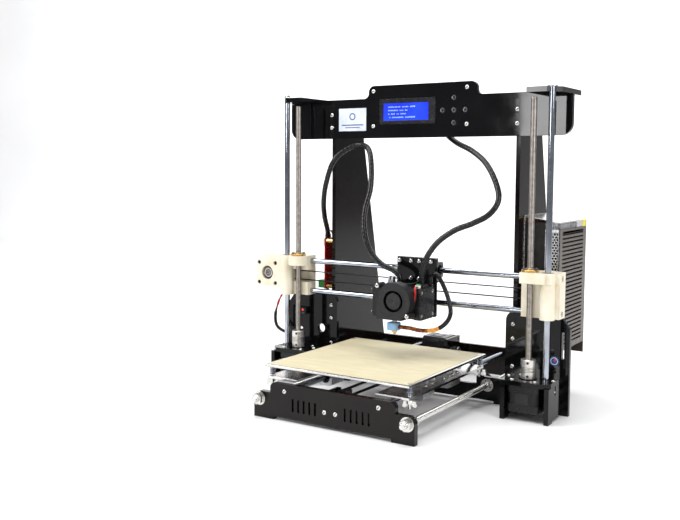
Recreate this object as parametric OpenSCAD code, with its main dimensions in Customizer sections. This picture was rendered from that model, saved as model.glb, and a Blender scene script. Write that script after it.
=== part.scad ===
// Desktop filament printer: a laser-cut portal frame with a moving bed (Y), a rising gantry (Z)
// on two leadscrews and a print head (X) that rides across the gantry. Millimetres, +Z up.
// The plan frame has X = 0 on the portal's middle, Y = 0 on the front face of its sheets
// (+Y is the back) and Z = 0 on the table. placed() moves it to the centre of the footprint.

/* [Portal] */
// Thickness of the portal's acrylic sheets
sheet_t = 6; // [5:0.5:6]
// Thickness of the two end plates of the bed's track
end_sheet_t = 8; // [6:0.5:8]
// Width of the top panel
panel_w = 439; // [436:1:444]
// Height of the top panel's lower edge
panel_z = 364; // [356:1:366]
// Underside of the two top plates
portal_z = 417; // [415:1:419]
// Top of the panel's raised middle
panel_top = 439; // [437:1:442]
// Distance between the two vertical smooth rods
rod_span = 408; // [407:0.5:409]
// Distance between the two leadscrews
screw_span = 363; // [362:0.5:364]
// Top of the lower corner sheets
wing_top = 132; // [128:1:132]

/* [Gantry] */
// Height of the gantry's middle at rest
gantry_z = 159.5; // [159:0.5:200]
// Distance between the two gantry rods
x_rod_gap = 45; // [45:0.5:46]
// Plane of the gantry rods
x_rod_y = -20; // [-20.5:0.5:-19.5]
// Place of the print head along the gantry
head_x = 17; // [-90:1:100]

/* [Bed] */
// Width of the heated bed
bed_w = 212; // [206:1:214]
// Depth of the heated bed
bed_d = 220; // [214:1:222]
// Middle of the bed at rest
bed_y = -106; // [-110:1:-100]
// Top of the bed
bed_top = 68.7; // [68.5:0.1:72]
// Distance between the two rods under the bed
y_rod_gap = 138; // [136:1:140]
// Height of the rods under the bed
y_rod_z = 38.5; // [38.5:0.1:39]
// Front face of the bed's front end plate
track_front = -223; // [-224:1:-221]
// Front face of the bed's rear end plate
track_back = 156; // [155:1:160]

/* [Rods] */
// Diameter of every smooth rod
rod_d = 8; // [8:0.1:8]
// Diameter of the two threaded rods
stud_d = 8; // [7:0.5:8]
// Distance between the two threaded rods
stud_gap = 216; // [214:1:217]

/* [Hidden] */
$fn = 48;

// Where the plan frame's zero lies, seen from the centre of the footprint
origin_x = -22.2;
origin_y = -32;

// Gaps: between moving pieces, and a running fit on a shaft
gap = 0.4;
running = 0.06;
fit = 0.1;
snug = 0.02;

rod_r = rod_d / 2;
slide_r = rod_r + running;
hole_r = rod_r + fit;
panel_half = panel_w / 2;
rod_x = rod_span / 2;
rod_y = -32.5;
screw_x = screw_span / 2;
screw_y = -35;
shelf_top = 52;
shelf_z = shelf_top - sheet_t;
cap_t = 6.7;

// Small screws: shank, hole and button head
m3_r = 1.5;
m3_hole = 1.65;
m3_head = 2.9;
m3_head_h = 1.8;

// Square stepper motor
motor_w = 42.3;
motor_pitch = 31;
boss_r = 11;
shaft_r = 2.5;

// Linear bearing and its aluminium housing
liner_r = 7.5;
liner_len = 24;
block_w = 34;
block_h = 22;
block_len = 30;
block_flange = 6;
block_body = 22;

// Toothed belts
belt_w = 6;
belt_in = 6.0;
belt_out = 7.1;
y_belt_in = 4.6;
y_belt_out = 5.7;

// ---------------------------------------------------------------- helpers

module placed() {
    translate([-origin_x, -origin_y, 0]) children();
}

// A profile drawn in X and Z becomes a sheet from y0 to y0 + t
module xz_sheet(y0, t) {
    translate([0, y0 + t, 0]) rotate([90, 0, 0]) linear_extrude(t) children();
}

// A profile drawn in Y and Z becomes a sheet from x0 to x0 + t
module yz_sheet(x0, t) {
    translate([x0, 0, 0]) rotate([90, 0, 90]) linear_extrude(t) children();
}

module x_rod(x0, x1, y, z, r) {
    translate([x0, y, z]) rotate([0, 90, 0]) cylinder(h = x1 - x0, r = r);
}

module y_rod(y0, y1, x, z, r) {
    translate([x, y0, z]) rotate([-90, 0, 0]) cylinder(h = y1 - y0, r = r);
}

module z_rod(z0, z1, x, y, r) {
    translate([x, y, z0]) cylinder(h = z1 - z0, r = r);
}

module box(x0, x1, y0, y1, z0, z1) {
    translate([x0, y0, z0]) cube([x1 - x0, y1 - y0, z1 - z0]);
}

// Rectangle from corner to corner with round corners
module round_rect(x0, y0, x1, y1, r) {
    translate([x0 + r, y0]) square([x1 - x0 - 2 * r, y1 - y0]);
    translate([x0, y0 + r]) square([x1 - x0, y1 - y0 - 2 * r]);
    for (x = [x0 + r, x1 - r], y = [y0 + r, y1 - r])
        translate([x, y]) circle(r);
}

module rect(x0, y0, x1, y1) {
    translate([x0, y0]) square([x1 - x0, y1 - y0]);
}

module both_sides() {
    children();
    mirror([1, 0, 0]) children();
}

// Closed belt loop in X and Z between two axes
module belt_loop(a, b, r) {
    translate([a, 0]) circle(r);
    translate([b, 0]) circle(r);
    translate([a, -r]) square([b - a, 2 * r]);
}

// Tube swept along hand-laid points, for a cord
function unit(v) = v / norm(v);
function way(p, i) = unit(p[min(i + 1, len(p) - 1)] - p[max(i - 1, 0)]);
function side(t) = unit(cross(t, abs(t[2]) > 0.9 ? [0, 1, 0] : [0, 0, 1]));
// Sideways direction at each point, carried along the route without twisting
function sides(p, i, u) = i == len(p) ? [] :
    let (t = way(p, i), v = unit(u - (u * t) * t)) concat([v], sides(p, i + 1, v));
function ring(c, t, u, r, n) =
    let (v = cross(t, u))
    [for (k = [0:n - 1]) c + r * (cos(360 * k / n) * u + sin(360 * k / n) * v)];

module cord(p, d, n = 8) {
    across = sides(p, 0, side(way(p, 0)));
    rings = [for (i = [0:len(p) - 1]) each ring(p[i], way(p, i), across[i], d / 2, n)];
    walls = [for (i = [0:len(p) - 2], k = [0:n - 1])
        let (a = i * n + k, b = i * n + (k + 1) % n)
        [a, b, b + n, a + n]];
    first = [for (k = [0:n - 1]) n - 1 - k];
    last = [for (k = [0:n - 1]) (len(p) - 1) * n + k];
    polyhedron(rings, concat([first], walls, [last]), convexity = 8);
}

// Stepper motor with its shaft along +Z, face at z = 0, body below
module stepper(len) {
    difference() {
        translate([0, 0, -len]) linear_extrude(len)
            intersection() {
                square(motor_w, center = true);
                rotate(45) square(motor_w * 1.414 - 7, center = true);
            }
        for (x = [-1, 1], y = [-1, 1])
            translate([x * motor_pitch / 2, y * motor_pitch / 2, -4.5]) cylinder(h = 5, r = m3_r);
    }
    cylinder(h = 1.8, r = boss_r);
}

// Flanged bearing housing: base face at z = 0, bore along X at z = block_h / 2
module block_profile() {
    rect(-block_w / 2, 0, block_w / 2, block_flange);
    rect(-block_body / 2, 0, block_body / 2, block_h - 5);
    translate([-block_body / 2 + 5, 0]) square([block_body - 10, block_h]);
    for (s = [-1, 1]) translate([s * (block_body / 2 - 5), block_h - 5]) circle(5);
}

module bearing_block() {
    difference() {
        rotate([90, 0, 90]) translate([0, 0, -block_len / 2]) linear_extrude(block_len)
            block_profile();
        x_rod(-block_len, block_len, 0, block_h / 2, liner_r);
        for (x = [-9, 9], y = [-12, 12]) translate([x, y, -1]) cylinder(h = 9, r = 1.7);
    }
    difference() {
        x_rod(-liner_len / 2, liner_len / 2, 0, block_h / 2, liner_r);
        x_rod(-block_len, block_len, 0, block_h / 2, slide_r);
    }
}

// Button-head screw along +Z: head above z = 0, shank below
module screw(len) {
    cylinder(h = m3_head_h, r = m3_head);
    translate([0, 0, -len]) cylinder(h = len, r = m3_r);
}

// ---------------------------------------------------------------- portal sheets

raised_x = [-82, 88];
tab_z = [371, 389.75, 408.5];
panel_screw_z = [380.5, 399];
side_x = 145.5;
lcd_x = [-64.7, 25.6];
lcd_z = [383, 420];
key_x = 53;
key_z = 400.9;
key_pitch = 17;
key_r = 4.2;
lcd_screws = [[-74, 381.2], [-74, 431], [73, 381.2], [73, 431]];

module panel_outline() {
    top = portal_z + 4;
    r = 15;
    rect(-panel_half, panel_z + r, panel_half, portal_z);
    rect(-panel_half + r, panel_z, panel_half - r, portal_z);
    for (s = [-1, 1]) translate([s * (panel_half - r), panel_z + r]) circle(r);
    rect(-172, portal_z - 1, 172, top);
    difference() {
        union() {
            round_rect(raised_x[0], top - 20, raised_x[1], panel_top, 9);
            rect(raised_x[0] - 8, top - 1, raised_x[1] + 8, top + 8);
        }
        translate([raised_x[0] - 8, top + 8]) circle(8);
        translate([raised_x[1] + 8, top + 8]) circle(8);
    }
}

module front_panel() {
    color([0.03, 0.03, 0.035]) placed() difference() {
        xz_sheet(0, sheet_t) difference() {
            panel_outline();
            rect(lcd_x[0], lcd_z[0], lcd_x[1], lcd_z[1]);
            for (s = [-1, 1], z = tab_z)
                rect(s * side_x - sheet_t / 2, z - 4.75, s * side_x + sheet_t / 2, z + 4.75);
        }
        for (p = lcd_screws) y_rod(-1, sheet_t + 1, p[0], p[1], m3_hole);
        for (s = [-1, 1], z = panel_screw_z) y_rod(-1, sheet_t + 1, s * side_x, z, m3_hole);
        for (a = [0:4]) let (p = key_place(a))
            y_rod(-1, sheet_t + 1, p[0], p[1], key_r + gap);
    }
}

// Triangular braces behind the portal; their tabs sit in the panel, wings and rear plate
brace_top = 415;
brace_low = 38;
wing_tab_z = [104, 49];

module side_plates() {
    color([0.05, 0.045, 0.045]) placed() both_sides() difference() {
        yz_sheet(side_x - sheet_t / 2, sheet_t) {
            polygon([[sheet_t, brace_low], [sheet_t, brace_top], [76, brace_top],
                [track_back, brace_low + 8], [track_back, brace_low]]);
            for (z = tab_z) rect(0, z - 4.75, sheet_t + 1, z + 4.75);
            for (z = wing_tab_z) rect(0, z - 4, sheet_t + 1, z + 4);
            rect(track_back - 1, brace_low, track_back + sheet_t, brace_low + 5);
        }
        for (z = panel_screw_z) y_rod(-1, 17, side_x, z, m3_hole);
        for (z = wing_screw_z) y_rod(-1, 17, side_x, z, m3_hole);
    }
}

// Lower corner sheets that carry the motor towers
wing_in = 135.4;
wing_out = 223.6;
wing_screw_z = [114, 94.6, 57, 41.5];
shelf_tab_x = [168, 200];
cable_hole = [203, 69];
cable_hole_r = 7.5;
small_hole = [163.5, 77.5];
small_hole_r = 6.5;

module wing_outline() {
    r = 13;
    difference() {
        union() {
            rect(wing_in + r, 0, wing_out, wing_top);
            rect(wing_in, 0, wing_out, wing_top - r);
            translate([wing_in + r, wing_top - r]) circle(r);
        }
        polygon([[wing_out - 14, wing_top + 1], [wing_out + 1, wing_top + 1],
            [wing_out + 1, wing_top - 18], [wing_out, wing_top - 18]]);
        rect(wing_in + 18, -1, wing_out - 16, 3.5);
        for (z = wing_tab_z)
            rect(side_x - sheet_t / 2, z - 4, side_x + sheet_t / 2, z + 4);
        for (x = shelf_tab_x) rect(x - 6, shelf_z, x + 6, shelf_top);
        for (x = leg_x, z = leg_tab_z) rect(x, z - 4, x + sheet_t, z + 4);
        round_rect(213, 74, 216.4, 110, 1.6);
    }
}

module wing_plates() {
    color([0.03, 0.03, 0.035]) placed() difference() {
        both_sides() difference() {
            xz_sheet(0, sheet_t) wing_outline();
            for (z = wing_screw_z) y_rod(-1, sheet_t + 1, side_x, z, m3_hole);
        }
        y_rod(-1, sheet_t + 1, -cable_hole[0], cable_hole[1], cable_hole_r);
        y_rod(-1, sheet_t + 1, -small_hole[0], small_hole[1], small_hole_r);
    }
}

// Low sheet across the portal that the threaded rods pass through
stud_x = stud_gap / 2;
stud_z = 25;
cross_half = side_x - sheet_t / 2;
cross_y = sheet_t;

module cross_plate() {
    color([0.03, 0.03, 0.035]) placed() difference() {
        xz_sheet(cross_y, sheet_t) {
            rect(-cross_half, 3.5, cross_half, 24.5);
            for (s = [-1, 1]) rect(s * 117 - 25.5, 20, s * 117 + 25.5, 36);
            for (s = [-1, 1]) rect(s * 130 - 12.5, 0, s * 130 + 12.5, 12);
        }
        for (s = [-1, 1]) y_rod(cross_y - 1, cross_y + sheet_t + 1, s * stud_x, stud_z, hole_r);
    }
}

// Motor shelves below and rod caps above, all four holding the vertical rods
shelf_in = 152;
shelf_out = 217;
shelf_front = -58;
top_in = 173;
top_out = 215;

module shelf_outline() {
    c = 10;
    difference() {
        union() {
            polygon([[shelf_in, 0], [shelf_in, shelf_front], [shelf_out - c, shelf_front],
                [shelf_out, shelf_front + c], [shelf_out, 0]]);
            for (x = shelf_tab_x) rect(x - 6, -1, x + 6, sheet_t);
        }
        translate([screw_x, screw_y]) circle(boss_r + 1);
        translate([rod_x, rod_y]) circle(hole_r);
        for (x = leg_x) translate([x + sheet_t / 2, -32]) circle(m3_hole);
        for (x = [-1, 1], y = [-1, 1])
            translate([screw_x + x * motor_pitch / 2, screw_y + y * motor_pitch / 2])
                circle(m3_hole);
    }
}

module rod_plates() {
    color([0.04, 0.04, 0.045]) placed() both_sides() {
        translate([0, 0, shelf_z]) linear_extrude(sheet_t) shelf_outline();
        translate([0, 0, portal_z]) linear_extrude(cap_t) difference() {
            polygon([[top_in, 46], [top_in, -41], [200, -41], [top_out, -24], [top_out, 46]]);
            translate([rod_x, rod_y]) circle(hole_r);
        }
    }
}

// Two legs under each shelf; the motor hangs between them
leg_x = [shelf_in, shelf_out - sheet_t];
leg_tab_z = [14, 34];

module leg_outline() {
    difference() {
        union() {
            rect(shelf_front + 2, 0, -17, shelf_z);
            for (z = leg_tab_z) rect(-18, z - 4, sheet_t, z + 4);
        }
        rect(-41, -1, -16, 3);
        rect(-33.6, shelf_z - 12, -30.4, shelf_z + 1);
        rect(-35.2, shelf_z - 9, -28.8, shelf_z - 6.4);
    }
}

module motor_legs() {
    color([0.05, 0.05, 0.055]) placed() both_sides()
        for (x = leg_x) yz_sheet(x, sheet_t) leg_outline();
}

// ---------------------------------------------------------------- bed track

lug_half = 117.5;
front_top = 48;

module front_outline() {
    difference() {
        union() {
            round_rect(-91.5, 4, 91.5, front_top, 7);
            rect(-lug_half, 4, lug_half, 26);
            for (s = [-1, 1]) {
                rect(s * 102 - 15.5, 0, s * 102 + 15.5, 14);
                translate([s * (lug_half - 10.5), 24]) circle(10.5);
                rect(s * 98 - 10, 20, s * 98 + 10, 34.5);
            }
        }
        for (s = [-1, 1]) translate([s * 104, 47]) circle(12.5);
        for (s = [-1, 1], z = [11, 31])
            rect(s * 8 - 3, z - 3.5, s * 8 + 3, z + 3.5);
        for (s = [-1, 1], i = [0:4])
            round_rect(s * 39 + (i - 2) * 8.5 - 1.6, 14, s * 39 + (i - 2) * 8.5 + 1.6, 31, 1.5);
    }
}

module y_front_plate() {
    color([0.045, 0.04, 0.04]) placed() difference() {
        xz_sheet(track_front, end_sheet_t) front_outline();
        for (s = [-1, 1]) {
            y_rod(track_front - 1, track_front + 20, s * stud_x, stud_z, hole_r);
            y_rod(track_front - 1, track_front + 20, s * 8, 21, m3_hole);
            y_rod(track_front - 1, track_front + 20, s * y_rod_gap / 2, y_rod_z, m3_hole);
        }
    }
}

module y_rear_plate() {
    color([0.045, 0.04, 0.04]) placed() difference() {
        xz_sheet(track_back, sheet_t) difference() {
            rect(-152, 0, 152, 47);
            rect(-100, -1, 100, 3.5);
            for (s = [-1, 1])
                rect(s * side_x - sheet_t / 2, brace_low, s * side_x + sheet_t / 2, brace_low + 5);
            for (z = bracket_tab_z) rect(bracket_x, z - 3.5, bracket_x + sheet_t, z + 3.5);
        }
        for (s = [-1, 1]) {
            y_rod(track_back - 1, track_back + 20, s * stud_x, stud_z, hole_r);
            y_rod(track_back - 1, track_back + 20, s * y_rod_gap / 2, y_rod_z, hole_r);
        }
    }
}

// Vertical and bed smooth rods, and the two threaded rods that tie the track together
track_rear = track_back + sheet_t;
stud_y = [track_front - 14, track_rear + 11];

module frame_rods() {
    color([0.78, 0.79, 0.8]) placed() both_sides() {
        z_rod(shelf_z, portal_z + cap_t, rod_x, rod_y, rod_r);
        y_rod(track_front + end_sheet_t, track_rear, y_rod_gap / 2, y_rod_z, rod_r);
        y_rod(stud_y[0], stud_y[1], stud_x, stud_z, stud_d / 2);
    }
}

// Nuts and washers on the threaded rods, rod caps and the sheets' screws
nut_w = 13;
nut_h = 6.5;
washer_t = 1.6;
washer_r = 9;

module stud_nut(y, out) {
    d = out > 0 ? 1 : -1;
    translate([stud_x, y, stud_z]) rotate([-90 * d, 0, 0]) {
        difference() {
            cylinder(h = washer_t, r = washer_r);
            translate([0, 0, -1]) cylinder(h = washer_t + 2, r = hole_r);
        }
        difference() {
            translate([0, 0, washer_t]) cylinder(h = nut_h, r = nut_w / 2 / cos(30), $fn = 6);
            translate([0, 0, washer_t - 1]) cylinder(h = nut_h + 2, r = hole_r);
        }
    }
}

module front_screw(x, z, y, len) {
    translate([x, y, z]) rotate([90, 0, 0]) screw(len);
}

module frame_fasteners() {
    color([0.75, 0.75, 0.74]) placed() {
        both_sides() {
            stud_nut(track_front, -1);
            stud_nut(track_front + end_sheet_t, 1);
            stud_nut(cross_y, -1);
            stud_nut(cross_y + sheet_t, 1);
            stud_nut(track_back, -1);
            stud_nut(track_rear, 1);
            translate([rod_x, rod_y, portal_z + cap_t]) {
                cylinder(h = 1.2, r = 6.5);
                translate([0, 0, 1.2]) cylinder(h = 3.2, r = 4.2, $fn = 6);
            }
            for (z = panel_screw_z) front_screw(side_x, z, 0, 16);
            for (z = wing_screw_z) front_screw(side_x, z, 0, 16);
            for (x = leg_x) {
                box(x + 0.4, x + 5.6, -34.9, -29.1, shelf_z - 8.9, shelf_z - 6.5);
                translate([x + sheet_t / 2, -32, shelf_top]) screw(17);
            }
            front_screw(8, 21, track_front, end_sheet_t);
            front_screw(y_rod_gap / 2, y_rod_z, track_front, end_sheet_t);
            for (x = [-1, 1], y = [-1, 1])
                translate([screw_x + x * motor_pitch / 2, screw_y + y * motor_pitch / 2, shelf_top])
                    screw(9);
        }
        for (p = lcd_screws) front_screw(p[0], p[1], 0, 10);
    }
}

// The two lift motors and the bed motor
y_axis = [-198, 134];
y_belt_z = 38.6;
bracket_x = -11;
bracket_tab_z = [27, 41];
y_motor_len = 38;

module frame_motors() {
    color([0.06, 0.06, 0.065]) placed() {
        both_sides() translate([screw_x, screw_y, shelf_z]) stepper(34.5);
        translate([bracket_x, y_axis[1], y_belt_z]) rotate([0, 90, 0]) stepper(y_motor_len);
    }
}

// Cheeks that hold the bed's idler, the bed motor's bracket and the seats of the bed rods
module y_brackets() {
    color([0.05, 0.05, 0.055]) placed() {
        both_sides() difference() {
            yz_sheet(5, sheet_t) {
                rect(track_front + end_sheet_t, 7.5, -189, 46);
                for (z = [11, 31])
                    rect(track_front, z - 3.5, track_front + end_sheet_t + 1, z + 3.5);
            }
            x_rod(4, 12, y_axis[0], y_belt_z, 2.1);
            y_rod(track_front - 1, track_front + 20, 8, 21, m3_hole);
        }
        x_rod(-12, 12, y_axis[0], y_belt_z, 2);
        difference() {
            yz_sheet(bracket_x, sheet_t) {
                rect(y_axis[1] - 22, 14, track_back, 59);
                for (z = bracket_tab_z) rect(track_back - 1, z - 3.5, track_rear, z + 3.5);
            }
            x_rod(bracket_x - 1, bracket_x + 10, y_axis[1], y_belt_z, boss_r + 0.5);
            for (y = [-1, 1], z = [-1, 1])
                x_rod(bracket_x - 1, bracket_x + 10, y_axis[1] + y * motor_pitch / 2,
                    y_belt_z + z * motor_pitch / 2, m3_hole);
        }
    }
}

module y_belt() {
    color([0.04, 0.04, 0.04]) placed() difference() {
        yz_sheet(-belt_w / 2, belt_w) translate([0, y_belt_z])
            belt_loop(y_axis[0], y_axis[1], y_belt_out);
        yz_sheet(-belt_w / 2 - 1, belt_w + 2) translate([0, y_belt_z])
            belt_loop(y_axis[0], y_axis[1], y_belt_in);
    }
}

// ---------------------------------------------------------------- electronics

// Display: circuit board on spacers, metal bezel in the panel's window, glass in the bezel
module lcd_module() {
    color([0.1, 0.15, 0.5]) placed() {
        difference() {
            box(-79, 78, 11, 12.6, 376.5, 435.5);
            for (p = lcd_screws) y_rod(10, 14, p[0], p[1], m3_hole);
        }
        difference() {
            box(lcd_x[0] + 0.2, lcd_x[1] - 0.2, 0.4, 11, lcd_z[0] + 0.2, lcd_z[1] - 0.2);
            box(-58, 14.5, 0, 1.6, 388.8, 413.3);
        }
        box(-57.8, 14.3, 0.8, 1.5, 389, 413.1);
        for (a = [0:4]) let (p = key_place(a))
            box(p[0] - 3, p[0] + 3, 7.4, 11, p[1] - 3, p[1] + 3);
        for (p = lcd_screws) difference() {
            y_rod(sheet_t, 11, p[0], p[1], 3);
            y_rod(sheet_t - 1, 12, p[0], p[1], m3_hole);
        }
    }
}

// Power supply: folded base with end tabs, and a slotted cover
psu_x = [148.5, 198.5];
psu_y = [24, 135];
psu_z = [60, 259];
psu_skin = 1.5;
psu_cover_z = [76, 241];

module psu_case() {
    color([0.12, 0.12, 0.12]) placed() difference() {
        union() {
            box(psu_x[0], psu_x[0] + psu_skin, psu_y[0], psu_y[1], psu_z[0], psu_z[1]);
            box(psu_x[0], psu_x[1], psu_y[1] - psu_skin, psu_y[1], psu_z[0], psu_z[1] - 9);
            box(psu_x[0], psu_x[0] + 30, psu_y[0], psu_y[0] + psu_skin, psu_z[0], psu_z[1] - 9);
            box(psu_x[0] + 4, psu_x[0] + 5.6, 27, 132, 80, 238);
            box(psu_x[0] + 5.6, psu_x[0] + 24, 34, 125, 243, 255);
            box(psu_x[0] + 4, psu_x[0] + 5.6, 34, 125, 237, 255);
            box(psu_x[0] + 5.6, psu_x[0] + 36, 60, 96, 150, 186);
            for (z = [100, 126]) x_rod(psu_x[0] + 5.6, psu_x[0] + 40, 50, z, 11);
        }
        for (x = [183, 193.5]) y_rod(130, 140, x, 65, 2.2);
        for (i = [0:6]) box(psu_x[0] + 12, psu_x[0] + 40, 38 + i * 12.4, 46 + i * 12.4, 249, 260);
    }
}

module psu_cover() {
    x0 = psu_x[0] + 30;
    color([0.16, 0.14, 0.13]) placed() difference() {
        union() {
            box(psu_x[1] - psu_skin, psu_x[1], psu_y[0], psu_y[1] - psu_skin, psu_cover_z[0],
                psu_cover_z[1]);
            box(x0, psu_x[1], psu_y[0], psu_y[0] + psu_skin, psu_cover_z[0], psu_cover_z[1]);
            box(psu_x[0] + psu_skin, psu_x[1], psu_y[0] + psu_skin, psu_y[1] - psu_skin,
                psu_cover_z[0], psu_cover_z[0] + psu_skin);
            box(psu_x[0] + 28, psu_x[1], psu_y[0] + psu_skin, psu_y[1] - psu_skin,
                psu_cover_z[1] - psu_skin, psu_cover_z[1]);
        }
        for (i = [0:27])
            box(psu_x[1] - 3, psu_x[1] + 1, psu_y[0] + 12, psu_y[1] - 12, 84 + i * 5.5,
                86.2 + i * 5.5);
    }
}

// Controller on the outside of the left brace, with its connectors
board_x = -165;
board_y = [12, 112];
board_z = [136, 214];

module control_board() {
    color([0.55, 0.05, 0.05]) placed() {
        difference() {
            box(board_x - 1.6, board_x, board_y[0], board_y[1], board_z[0], board_z[1]);
            for (y = [16, 108], z = [140, 210]) x_rod(board_x - 3, board_x + 1, y, z, m3_hole);
        }
        for (y = [16, 108], z = [140, 210]) difference() {
            x_rod(board_x, -side_x - sheet_t / 2, y, z, 3);
            x_rod(board_x - 1, -side_x, y, z, m3_hole);
        }
        for (i = [0:4]) box(board_x - 12, board_x - 1.6, 24 + i * 15, 34 + i * 15, 202, 212);
        box(board_x - 14, board_x - 1.6, 14, 44, 137, 149);
        box(board_x - 12, board_x - 1.6, 50, 70, 137, 147);
        for (i = [0:3]) box(board_x - 8, board_x - 1.6, 26 + i * 18, 36 + i * 18, 172, 182);
        box(board_x - 4, board_x - 1.6, 60, 78, 152, 168);
    }
}

// End-stop switches of the lift and the bed
module limit_switches() {
    color([0.1, 0.1, 0.1]) placed() {
        box(-208, -188, -7, 0, 97, 107);
        box(118, 138, track_back - 7, track_back, 30, 40);
    }
}

// ---------------------------------------------------------------- gantry

x_rod_top = gantry_z + x_rod_gap / 2;
x_rod_low = gantry_z - x_rod_gap / 2;
x_rod_end = 215;
end_top = gantry_z + 30.5;
end_low = gantry_z - 28.5;
flange_low = end_top - 14;
end_front = -30;
end_back = -9;
barrel_r = 9.5;
nut_r = 5.1;
nut_flange_r = 11;
x_motor_x = -246.5;
x_idler_x = 195;
motor_face = -8;

// What both gantry ends share: rod block, bearing barrel and nut flange, on the right side
module end_body() {
    box(168, 219, end_front, end_back, end_low, end_top);
    z_rod(end_low - 1, end_top, rod_x, rod_y, barrel_r);
    box(rod_x - barrel_r, 219, rod_y, end_front + 1, flange_low, end_top);
}

module end_bores() {
    for (z = [x_rod_top, x_rod_low]) x_rod(160, 220, x_rod_y, z, hole_r);
    z_rod(end_low - 2, end_top + 1, rod_x, rod_y, liner_r + 0.05);
    z_rod(end_low - 2, end_top + 1, screw_x, screw_y, nut_r + 0.1);
    for (a = [45:90:315])
        z_rod(flange_low - 1, end_top + 1, screw_x + 8 * cos(a), screw_y + 8 * sin(a), m3_r);
}

module x_idler_end() {
    color([0.93, 0.91, 0.82]) placed() difference() {
        union() {
            end_body();
            box(171, rod_x, -46, end_front + 1, flange_low, end_top);
            box(rod_x, 213, -42, end_front + 1, flange_low, end_top);
        }
        end_bores();
        box(160, 206, -24.5, -12.5, gantry_z - 9, gantry_z + 9);
        y_rod(-33, 0, x_idler_x, gantry_z, 2.1);
    }
}

module x_motor_end() {
    plate_l = x_motor_x - 21.5;
    color([0.93, 0.91, 0.82]) placed() difference() {
        union() {
            mirror([1, 0, 0]) end_body();
            z_rod(flange_low, end_top, -screw_x, screw_y, 15);
            xz_sheet(-27, 27 + motor_face) polygon([
                [-218, gantry_z - 21.5], [plate_l + 8, gantry_z - 21.5], [plate_l, gantry_z - 15],
                [plate_l, gantry_z + 17], [plate_l + 11, gantry_z + 28.5],
                [-218, gantry_z + 28.5]]);
        }
        mirror([1, 0, 0]) end_bores();
        box(x_motor_x, -195, -24.5, -12.5, gantry_z - 9, gantry_z + 9);
        box(-196, -160, -31, -12.5, gantry_z - 9, gantry_z + 9);
        y_rod(-24.5, -12.5, x_motor_x, gantry_z, 11);
        y_rod(-29, -24, x_motor_x, gantry_z, 10.6);
        y_rod(-13, 0, x_motor_x, gantry_z, boss_r + 0.4);
        for (x = [-1, 1], z = [-1, 1]) {
            y_rod(-30, 0, x_motor_x + x * motor_pitch / 2, gantry_z + z * motor_pitch / 2, m3_hole);
            y_rod(-30, -24, x_motor_x + x * motor_pitch / 2, gantry_z + z * motor_pitch / 2, 3.1);
        }
    }
}

module x_rods() {
    color([0.78, 0.79, 0.8]) placed() {
        for (z = [x_rod_top, x_rod_low]) x_rod(-x_rod_end, x_rod_end, x_rod_y, z, rod_r);
        y_rod(-30, end_back, x_idler_x, gantry_z, 2);
        y_rod(end_back, -5.5, x_idler_x, gantry_z, 3.5);
    }
}

module x_motor() {
    color([0.06, 0.06, 0.065]) placed() {
        translate([x_motor_x, motor_face, gantry_z]) rotate([90, 0, 0]) stepper(38);
        for (x = [-1, 1], z = [-1, 1])
            translate([x_motor_x + x * motor_pitch / 2, -24, gantry_z + z * motor_pitch / 2])
                rotate([90, 0, 0]) {
                    cylinder(h = 2.8, r = 2.75);
                    translate([0, 0, -19.5]) cylinder(h = 19.5, r = 1.45);
                }
    }
}

// Linear bearings in the barrels and the brass nuts on the flanges
module z_guides() {
    color([0.75, 0.6, 0.3]) placed() both_sides() {
        for (z = [end_low + 1, end_top - liner_len - 4]) difference() {
            z_rod(z, z + liner_len, rod_x, rod_y, liner_r);
            z_rod(z - 1, z + liner_len + 1, rod_x, rod_y, slide_r);
        }
        difference() {
            union() {
                z_rod(end_top - 10, end_top, screw_x, screw_y, nut_r);
                z_rod(end_top, end_top + 3.5, screw_x, screw_y, nut_flange_r);
                z_rod(end_top + 3.5, end_top + 5, screw_x, screw_y, nut_r);
            }
            z_rod(end_top - 11, end_top + 6, screw_x, screw_y, slide_r);
            for (a = [45:90:315])
                z_rod(end_top - 1, end_top + 4, screw_x + 8 * cos(a), screw_y + 8 * sin(a), 1.6);
        }
        for (a = [45:90:315])
            translate([screw_x + 8 * cos(a), screw_y + 8 * sin(a), end_top + 3.5]) {
                cylinder(h = 2.2, r = 2.6);
                translate([0, 0, -14]) cylinder(h = 14, r = 1.45);
            }
    }
}

module x_belt() {
    color([0.04, 0.04, 0.04]) placed() difference() {
        xz_sheet(x_rod_y - belt_w / 2, belt_w) translate([0, gantry_z])
            belt_loop(x_motor_x, x_idler_x, belt_out);
        xz_sheet(x_rod_y - belt_w / 2 - 1, belt_w + 2) translate([0, gantry_z])
            belt_loop(x_motor_x, x_idler_x, belt_in);
    }
}

// ---------------------------------------------------------------- print head

head_back = x_rod_y - block_h / 2;
plate_y = head_back - 3;
top_blocks = [-16.6, 14];
hot_x = head_x - 12;
hot_y = -72;
gear_y = -67;
gear_z = gantry_z - 17.4;
feeder_x = [head_x - 17, head_x - 7];
bracket_t = 3;
motor_x0 = feeder_x[1] + bracket_t;
fan_x = [head_x - 38, head_x - 28];
blower_c = [head_x + 3, gantry_z - 13];
blower_y = [-103.5, -88.5];
blower_r = 25;
blower_low = gantry_z - 38;

module block_screws(x, z) {
    for (dx = [-9, 9], dz = [-12, 12]) front_screw(x + dx, z + dz, plate_y, 9);
}

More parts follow.
